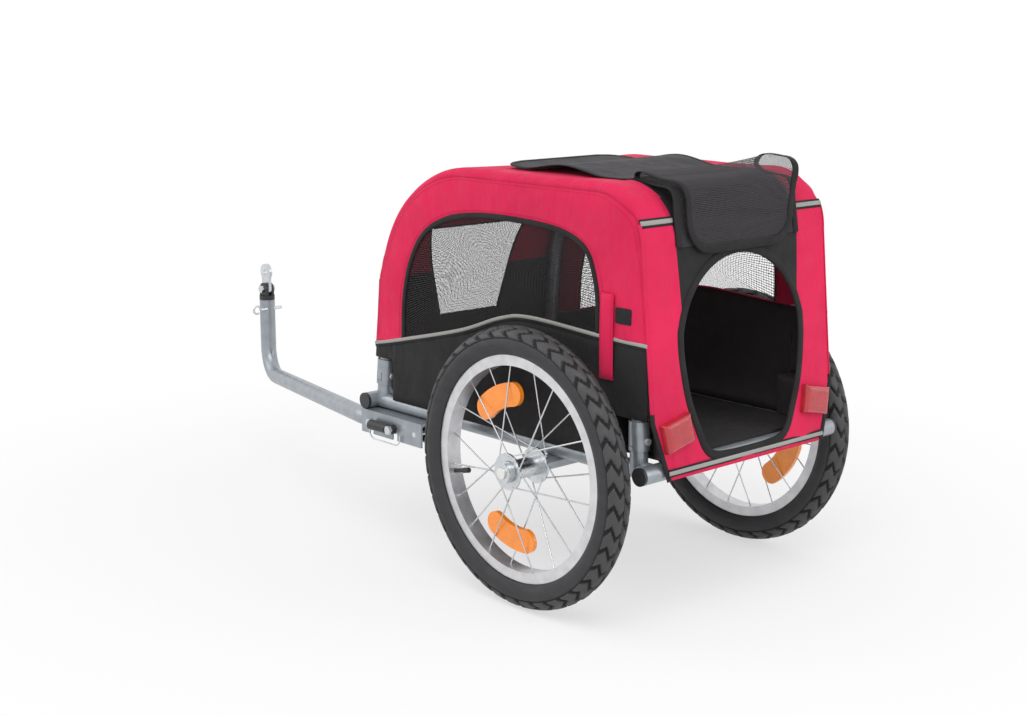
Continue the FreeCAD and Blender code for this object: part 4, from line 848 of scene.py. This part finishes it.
# Bare patch: a plain black piece with round corners sewn to the left wall behind the window.
PATCH_MIDDLE = Vector((STRAP_X - 0.0295, SIDE_Y + 0.0022, 0.4285))
PATCH_HALF = 0.0145, 0.0108
PATCH_CORNER = 0.003
PATCH_POINTS = 32
patch_points = []
for turn in range(PATCH_POINTS):
    way = heading(2 * math.pi * (turn + 0.5) / PATCH_POINTS)
    x, z = [math.copysign(half - PATCH_CORNER, end) + PATCH_CORNER * end
            for half, end in zip(PATCH_HALF, way.xz)]
    patch_points.append(PATCH_MIDDLE + Vector((x, 0, z)))
mesh = bmesh.new()
mesh.faces.new([mesh.verts.new(point) for point in reversed(patch_points)])
patch = finished(mesh, "bare_patch", smooth=False)
thicken(patch, 0.0012, black_cloth, black_cloth)
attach(patch, "chassis")

# Front wall: black cloth with a net window, drawn tight between the hoops' front legs. The window runs
# on up into the front bend, and a tape binds its edge.
FRONT_HALF = SIDE_Y - 0.0006
FRONT_FOOT_HALF = 0.158
FRONT_BELLY = 0.003
EDGE_STEPS = 24
front_low = front_edge(RAIL_Z + 0.014)
front_high = roof_point(0.0, 0.0)


def front_cloth(u, v):
    """The front wall from its foot to the front bend, narrower below the sockets' tops."""
    point = front_low.lerp(front_high, v)
    half = FRONT_HALF if point.z > LEDGE_Z - 0.004 else FRONT_FOOT_HALF
    belly = FRONT_BELLY * math.sin(math.pi * v) * math.cos(math.pi * (u - 0.5))
    return Vector((point.x - belly, (2 * u - 1) * half, point.z))


def front_net_cloth(u, v):
    """The window's net from its foot on the leaning wall to its top on the bend."""
    z = WINDOW_FOOT.z + WINDOW_EDGE.z * v
    x = front_edge(z, SKIN - NET_IN).x
    if z >= BEND_Z:
        x = FRONT_CENTRE.x + math.sqrt((FRONT_BEND + SKIN - NET_IN) ** 2 - (z - FRONT_CENTRE.z) ** 2)
    return Vector((x, (2 * u - 1) * window_half(z), z))


front = grid_piece("front_cloth", 40, 25, front_cloth)
cut_window(front)
thicken(front, CLOTH, black_cloth, dark_lining)
front_net = grid_piece("front_net", 32, 32, front_net_cloth, black_net)
shares = [i / EDGE_STEPS for i in range(EDGE_STEPS)]
edge_walk = [(share, 0.0) for share in shares] + [(1.0, share) for share in shares] + [
    (1 - share, 1.0) for share in shares] + [(0.0, 1 - share) for share in shares]
front_binding = ribbon(
    "front_window_binding", [front_net_cloth(*place) + Vector((NET_IN, 0, 0)) for place in edge_walk], 0.0085,
    0.0016, lambda point: Vector((1, 0, 0.2 if point.z > BEND_Z else 0.1)), binding_tape, closed=True)
for thing in (front_binding, front, front_net):
    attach(thing, "chassis")
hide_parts("front_wall")
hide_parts("front_window_mesh")


# Rear wall: red cloth on both flanks of an egg-shaped door mouth, black cloth round its upper half,
# a stiff black zip border round the mouth, and a grey tape over a red hem at the foot.
MOUTH_HALF = 0.126
MOUTH_CROWN = RAIL_Z + 0.2835
MOUTH_RISE = MOUTH_CROWN - (RAIL_Z + 0.1785)
MOUTH_ARC = (MOUTH_HALF ** 2 + MOUTH_RISE ** 2) / (2 * MOUTH_RISE)
ARC_SPLIT = 14
MOUTH_FLANK = ((0.1255, 0.365), (0.117, 0.315), (0.101, 0.272), (0.087, 0.243), (0.068, 0.230),
               (0.035, 0.2265), (0.0, 0.226))
HEM_Z = RAIL_Z - 0.010
HEM_HALF = 0.162
TOP_SPAN = 24
FLANK_SPAN = 66
REAR_ROWS = 16
REAR_SLACK = 0.0025
SEAM_TAPE_Y, SEAM_TAPE_RUN = 0.126, 0.0615
TRIM_LIFT = 0.0006


def across_up(y, z):
    """A point of the rear wall's outline by its place across and its height."""
    return Vector((0, y, z))


def rear_point(y, z, out=0.0):
    """A point of the rear wall by its place across and its height."""
    base = rear_edge(z, out)
    return Vector((base.x, y, base.z))


def both_halves(line):
    """A closed loop from its left half."""
    return line + [across_up(-p.y, p.z) for p in reversed(line[1:-1])]


arc_turns = [math.radians(turn) for turn in range(90, 9, -5)]
mouth_arc = [across_up(MOUTH_ARC * math.cos(turn), MOUTH_CROWN - MOUTH_ARC + MOUTH_ARC * math.sin(turn))
             for turn in arc_turns]
mouth_flank = smooth_line(mouth_arc[ARC_SPLIT:] + [across_up(*place) for place in MOUTH_FLANK], FLANK_SPAN)
mouth_loop = both_halves(even(mouth_arc[:ARC_SPLIT + 1], TOP_SPAN) + mouth_flank[1:])
wall_corners = [across_up(0, SEAM_Z), across_up(BLACK_HALF, SEAM_Z), across_up(SIDE_Y, SEAM_Z),
                across_up(SIDE_Y, LEDGE_Z), across_up(HEM_HALF, HEM_Z), across_up(0, HEM_Z)]
outer_half = []
for start, end, count in zip(wall_corners, wall_corners[1:], (TOP_SPAN, 8, 28, 12, 18)):
    outer_half += even([start, end], count)[:-1]
outer_loop = both_halves(outer_half + [wall_corners[-1]])


def rear_cloth(u, v):
    """The rear wall as a ring from its outer edge in to the door mouth."""
    point = loop_at(outer_loop, u).lerp(loop_at(mouth_loop, u), v)
    slack = REAR_SLACK * min(1.0, max(0.2, (0.46 - point.z) / 0.08))
    uneven = 0.6 + 0.8 * noise.noise(Vector((point.y * 9, point.z * 7, 2.0)))
    puff = slack * math.sin(math.pi * v) ** 2 * uneven
    return rear_point(point.y, point.z, puff)


def round_bend(point):
    """The way out from the rear bend at a point."""
    return Vector((point.x - REAR_CENTRE.x, 0, point.z - REAR_CENTRE.z))


rear = grid_piece("rear_cloth", len(outer_loop), REAR_ROWS, rear_cloth, closed=True)
thicken(rear, CLOTH, *RED_AND_BLACK)
for index, face in enumerate(rear.data.polygons):
    column = index // REAR_ROWS
    if column < TOP_SPAN or column >= len(outer_loop) - TOP_SPAN:
        face.material_index = BLACK_INDEX
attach(rear, "chassis")
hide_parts("rear_wall")
hem_line = [rear_point(y / 40 * (HEM_HALF + 0.002), HEM_Z + 0.010, 0.0022) for y in range(-40, 41)]
rear_trims = [
    ribbon("door_zip_border", [rear_point(p.y, p.z, 0.0004) for p in mouth_loop], 0.013, 0.0022, REAR_OUT,
           binding_tape, closed=True),
    ribbon("hem_binding", hem_line, 0.0105, 0.0010, REAR_OUT, binding_tape),
    ribbon("hem_tape", [point + REAR_OUT * TRIM_LIFT for point in hem_line], 0.0062, 0.0012, REAR_OUT,
           grey_piping)]
for side, sign in SIDES.items():
    corner_run = [rear_point(sign * SIDE_Y, LEDGE_Z + (SEAM_Z - LEDGE_Z) * i / 36) for i in range(37)]
    slant_run = even([rear_point(sign * SIDE_Y, LEDGE_Z + 0.012), rear_point(sign * SIDE_Y, LEDGE_Z),
                      rear_point(sign * HEM_HALF, HEM_Z)], 24)
    rear_trims += [
        ribbon(f"corner_seam_{side}", corner_run, 0.005, 0.0012, Vector((-1, sign, 0)), red_cloth),
        ribbon(f"corner_binding_{side}", [point + REAR_OUT * TRIM_LIFT for point in slant_run], 0.009, 0.0014,
               REAR_OUT, binding_tape)]
for side, sign in SIDES.items():
    seam_run = [rear_point(sign * (SEAM_TAPE_Y + SEAM_TAPE_RUN * i / 16), SEAM_Z, 0.0008) for i in range(17)]
    rear_trims += [
        ribbon(f"seam_binding_{side}", seam_run, 0.0125, 0.0010, round_bend, binding_tape),
        ribbon(f"seam_tape_{side}", seam_run, 0.0075, 0.0018, round_bend, grey_piping)]
for thing in rear_trims:
    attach(thing, "chassis")

# Corner gussets: black cloth tucked in behind the four corner sockets, sewn to the skirts' ends and to
# the front and rear walls, so that the cabin is closed down to the rails.
GUSSET_LOW = RAIL_Z + 0.0145
GUSSET_HIGH = LEDGE_Z + 0.003
GUSSET_IN = 0.152
GUSSET_RISE = 2 / 3
GUSSET_STEPS = 20
TUCK = 0.001


def gusset_cloth(sign, leg, way, u, v):
    """A gusset from the skirt in round the socket to the wall, up to the ledge and out over it."""
    z = GUSSET_LOW + (GUSSET_HIGH - GUSSET_LOW) * min(1.0, v / GUSSET_RISE)
    ledge = max(0.0, (v - GUSSET_RISE) / (1 - GUSSET_RISE))
    slip = max(0.0, (LEDGE_Z - z) / (LEDGE_Z - HEM_Z))
    if way > 0:
        wall = front_edge(z, SKIN - TUCK) + Vector((0, FRONT_FOOT_HALF, 0))
    else:
        wall = rear_point(SIDE_Y + (HEM_HALF - SIDE_Y) * slip, z, -TUCK)
    behind_leg = leg - way * CORNER_INSET
    path = even([Vector((behind_leg, SIDE_Y - TUCK, z)), Vector((behind_leg, GUSSET_IN + 0.006, z)),
                 Vector((behind_leg + way * 0.010, GUSSET_IN, z)), Vector((leg, GUSSET_IN, z)), wall],
                GUSSET_STEPS)
    point = path[round(u * GUSSET_STEPS)]
    return Vector((point.x, sign * (point.y + (SIDE_Y - TUCK - point.y) * ledge), point.z))


for side, sign in SIDES.items():
    for end, leg, way in (("front", LEG_FRONT, 1), ("rear", LEG_REAR, -1)):
        gusset = grid_piece(f"corner_gusset_{end}_{side}", GUSSET_STEPS, 15,
                            lambda u, v: gusset_cloth(sign, leg, way, u, v), flip=way * sign > 0)
        thicken(gusset, CLOTH, black_cloth, dark_lining)
        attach(gusset, "chassis")

# Rear reflectors: moulded red lenses with upright ribs and rounded edges, riveted low on the wall's flanks.
LENS_HALF_WIDE, LENS_HALF_TALL = 0.0272, 0.0207
LENS_RISE, RIB_RISE = 0.0128, 0.0006
LENS_Y, LENS_Z = 0.146, RAIL_Z + 0.052
LENS_TILT = math.radians(12)


def lens_face(sign, u, v):
    """A lens front: upright ribs that fade out to rounded edges."""
    tilt = Matrix.Rotation(LENS_TILT * sign, 3, REAR_OUT)
    middle = rear_point(sign * LENS_Y, LENS_Z, 0.0004)
    a, b = 2 * u - 1, 2 * v - 1
    edge = max(0.0, 1 - max(abs(a), abs(b)) ** 8)
    rise = LENS_RISE * edge ** 0.35 + RIB_RISE * abs(math.sin(u * math.pi * 16)) * edge
    across = tilt @ Vector((0, 1, 0)) * (a * LENS_HALF_WIDE)
    return middle + across + tilt @ REAR_UP * (b * LENS_HALF_TALL) + REAR_OUT * rise


for side, sign in SIDES.items():
    lens = grid_piece(f"rear_lens_{side}", 64, 32, lambda u, v: lens_face(sign, u, v), red_lens)
    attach(lens, "chassis")
    if side == "left":
        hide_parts("rear_reflectors")

# Floor board: a stiff board in a black cloth bag, laid on the cross tubes.
floor_cloth = cloth_material("floor_cloth", (0.022, 0.021, 0.022), 0.3)
dress(floor_cloth, "floor_board")

# Mesh door: one soft sheet of black net with a wide binding tape, sewn to the roof's rear edge, thrown
# up over it and folded back on itself.
HINGE = Vector((LEG_REAR - SKIN - 0.003, 0, REAR_CENTRE.z))
DOOR_HALF = 0.126
TIP_HALF = 0.108
TIP_CORNER = 0.044
TAPER_START, TAPER_RUN = 0.5, 0.25
LEAF_TOP = 0.074
LEAF_ROOF = 0.066
LAYER = 0.0015
LOOP_RISE = 0.012
LOOSE_UP, LOOSE_BACK = 0.017, 0.012
EDGE_SHARE = 0.965
DOOR_STEPS = 44


def clear_angle(point):
    """The direction from a point that just clears the rear bend."""
    gap = REAR_CENTRE - point
    return math.atan2(gap.z, gap.x) + math.asin((REAR_BEND + SKIN + LAYER) / gap.length)


rise_angle = clear_angle(HINGE)
rise_way = heading(rise_angle)
ROOF_FOLD = HINGE + rise_way * LEAF_TOP
roof_angle = clear_angle(ROOF_FOLD)
roof_way = heading(roof_angle)
TURN_FOLD = ROOF_FOLD + roof_way * LEAF_ROOF
above = heading(roof_angle + math.pi / 2)
behind = heading(rise_angle + math.pi / 2)
RETURN_START = TURN_FOLD + above * LAYER
fold_corner = (above + behind).normalized() * (LAYER / math.cos((rise_angle - roof_angle) / 2))
OUTER_FOLD = ROOF_FOLD + fold_corner
TIP_END = OUTER_FOLD - rise_way * (LEAF_TOP + 0.009)
door_line = smooth_line([
    HINGE, HINGE.lerp(ROOF_FOLD, 0.55) + behind * 0.001, ROOF_FOLD + fold_corner * 0.3,
    ROOF_FOLD.lerp(TURN_FOLD, 0.5) + above * 0.0005, TURN_FOLD + above * 0.0005], 40)
return_line = smooth_line([
    RETURN_START, TURN_FOLD + above * (LOOP_RISE * 0.6) + roof_way * 0.0005,
    TURN_FOLD + above * LOOP_RISE - roof_way * 0.008, RETURN_START.lerp(OUTER_FOLD, 0.5) + above * 0.009,
    OUTER_FOLD + fold_corner * 4.0, OUTER_FOLD.lerp(TIP_END, 0.5) + behind * 0.006,
    TIP_END + behind * 0.002], 60)
whole_line = door_line + return_line[1:]
door_length = walked(whole_line)[-1]


def round_end(half, left, corner):
    """Half a sheet's width, drawn in where a round corner is near its end."""
    if left >= corner:
        return half
    return half - (corner - math.sqrt(max(0.0, corner ** 2 - (corner - left) ** 2)))


def door_half(share):
    """Half the door's width along its length: straight, then tapering to a round end."""
    taper = held((share - TAPER_START) / TAPER_RUN)
    return round_end(DOOR_HALF + (TIP_HALF - DOOR_HALF) * taper, (1 - share) * door_length, TIP_CORNER)


def door_point(share, across):
    """A point of the folded door; its right end stands open in a loose loop."""
    place = share * (len(whole_line) - 1)
    index = min(int(place), len(whole_line) - 2)
    point = whole_line[index].lerp(whole_line[index + 1], place - index)
    loose = max(0.0, -across) ** 2 * math.sin(math.pi * held((share - 0.36) / 0.5))
    lift = above * (LOOSE_UP * loose) + behind * (LOOSE_BACK * loose)
    return Vector((point.x, across * door_half(share), point.z)) + lift


door_net = net_material("door_net", (0.056, 0.051, 0.057), 0.0024, 0.36)
DOOR_PARTS = (
    ("A", 0.0, 0.36, ("door_hinge", "door_roof"), ROOF_FOLD - rise_way * 0.02, ROOF_FOLD + roof_way * 0.02,
     ["door_leaf_hinge"]),
    ("B", 0.36, 0.62, ("door_roof", "door_return"), TURN_FOLD - roof_way * 0.001 - above * 0.002,
     TURN_FOLD + above * 0.012, ["door_leaf_roof"]),
    ("C", 0.62, 1.0, ("door_return", "door_tip"), OUTER_FOLD + roof_way * 0.02, OUTER_FOLD - rise_way * 0.02,
     ["door_leaf_return", "door_leaf_tip"]))
for part, first, last, bodies, blend_start, blend_end, nodes in DOOR_PARTS:
    steps = [first + (last - first) * i / DOOR_STEPS for i in range(DOOR_STEPS + 1)]
    sheet = grid_piece(f"door_net_{part}", DOOR_STEPS, 32,
                       lambda u, v: door_point(first + u * (last - first), 2 * v - 1), door_net)
    runs = {side: [door_point(step, sign * EDGE_SHARE) for step in steps] for side, sign in SIDES.items()}
    if part == "C":
        tip_run = [door_point(1.0, EDGE_SHARE * (1 - i / 8)) for i in range(1, 16)]
        runs = {"round": runs["left"] + tip_run + runs["right"][::-1]}
    edges = [ribbon(f"door_binding_{part}_{name}", run, 0.0125, 0.0013, round_bend, binding_tape)
             for name, run in runs.items()]
    for thing in (sheet, *edges):
        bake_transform(thing)
    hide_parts(*nodes)


# Rain flap: black coated cloth, bound round its edge, sewn to the roof ahead of the door and thrown
# forward, where it lies in one broad wave with its front edge turned up.
flap_low, flap_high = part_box("rain_flap")
FLAP_START = flap_low[0]
FLAP_LENGTH = flap_high[0] - flap_low[0]
FLAP_MIDDLE = (flap_low[1] + flap_high[1]) / 2
FLAP_HALF = (flap_high[1] - flap_low[1]) / 2
FLAP_Z = HOOP_TOP + SKIN + 0.0018
FLAP_WAVE = 0.011
WAVE_FROM, WAVE_TO = 0.12, 0.84
FLAP_END_RISE = 0.006
FLAP_RIPPLE = 0.003
FLAP_CORNER = 0.04
FLAP_COLUMNS, FLAP_ROWS = 48, 32


def flap_point(u, v):
    """The flap from its seam forward; a ripple runs slantwise on it and its front corners are round."""
    crest = math.sin(math.pi * held((u - WAVE_FROM) / (WAVE_TO - WAVE_FROM))) ** 2
    end = max(0.0, (u - 0.7) / 0.3) ** 2
    across = 2 * v - 1
    ahead = u * FLAP_LENGTH
    half = round_end(FLAP_HALF, FLAP_LENGTH - ahead, FLAP_CORNER)
    slant = 0.5 + 0.5 * math.sin(u * 7.0 + across * 1.3)
    z = FLAP_Z + crest * FLAP_WAVE + end * FLAP_END_RISE + FLAP_RIPPLE * slant * u * math.sin(math.pi * u)
    return Vector((FLAP_START + ahead, FLAP_MIDDLE + across * half, z))


# The flap's cloth is a lighter black than the walls' cloth: painted sheen, for the light its satin face
# catches.
flap_cloth = cloth_material("flap_cloth", (0.040, 0.037, 0.041), 0.3, 1.4)
flap = grid_piece("rain_flap_cloth", FLAP_COLUMNS, FLAP_ROWS, flap_point)
thicken(flap, CLOTH, flap_cloth, dark_lining)
rim = [flap_point(i / FLAP_COLUMNS, 0.0) for i in range(FLAP_COLUMNS + 1)] + [
    flap_point(1.0, i / FLAP_ROWS) for i in range(1, FLAP_ROWS + 1)] + [
    flap_point(1 - i / FLAP_COLUMNS, 1.0) for i in range(1, FLAP_COLUMNS + 1)]
flap_binding = ribbon("rain_flap_binding", rim, 0.009, 0.0014, Vector((0, 0, 1)), binding_tape)
for thing in (flap, flap_binding):
    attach(thing, "rain_flap")
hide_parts("rain_flap")
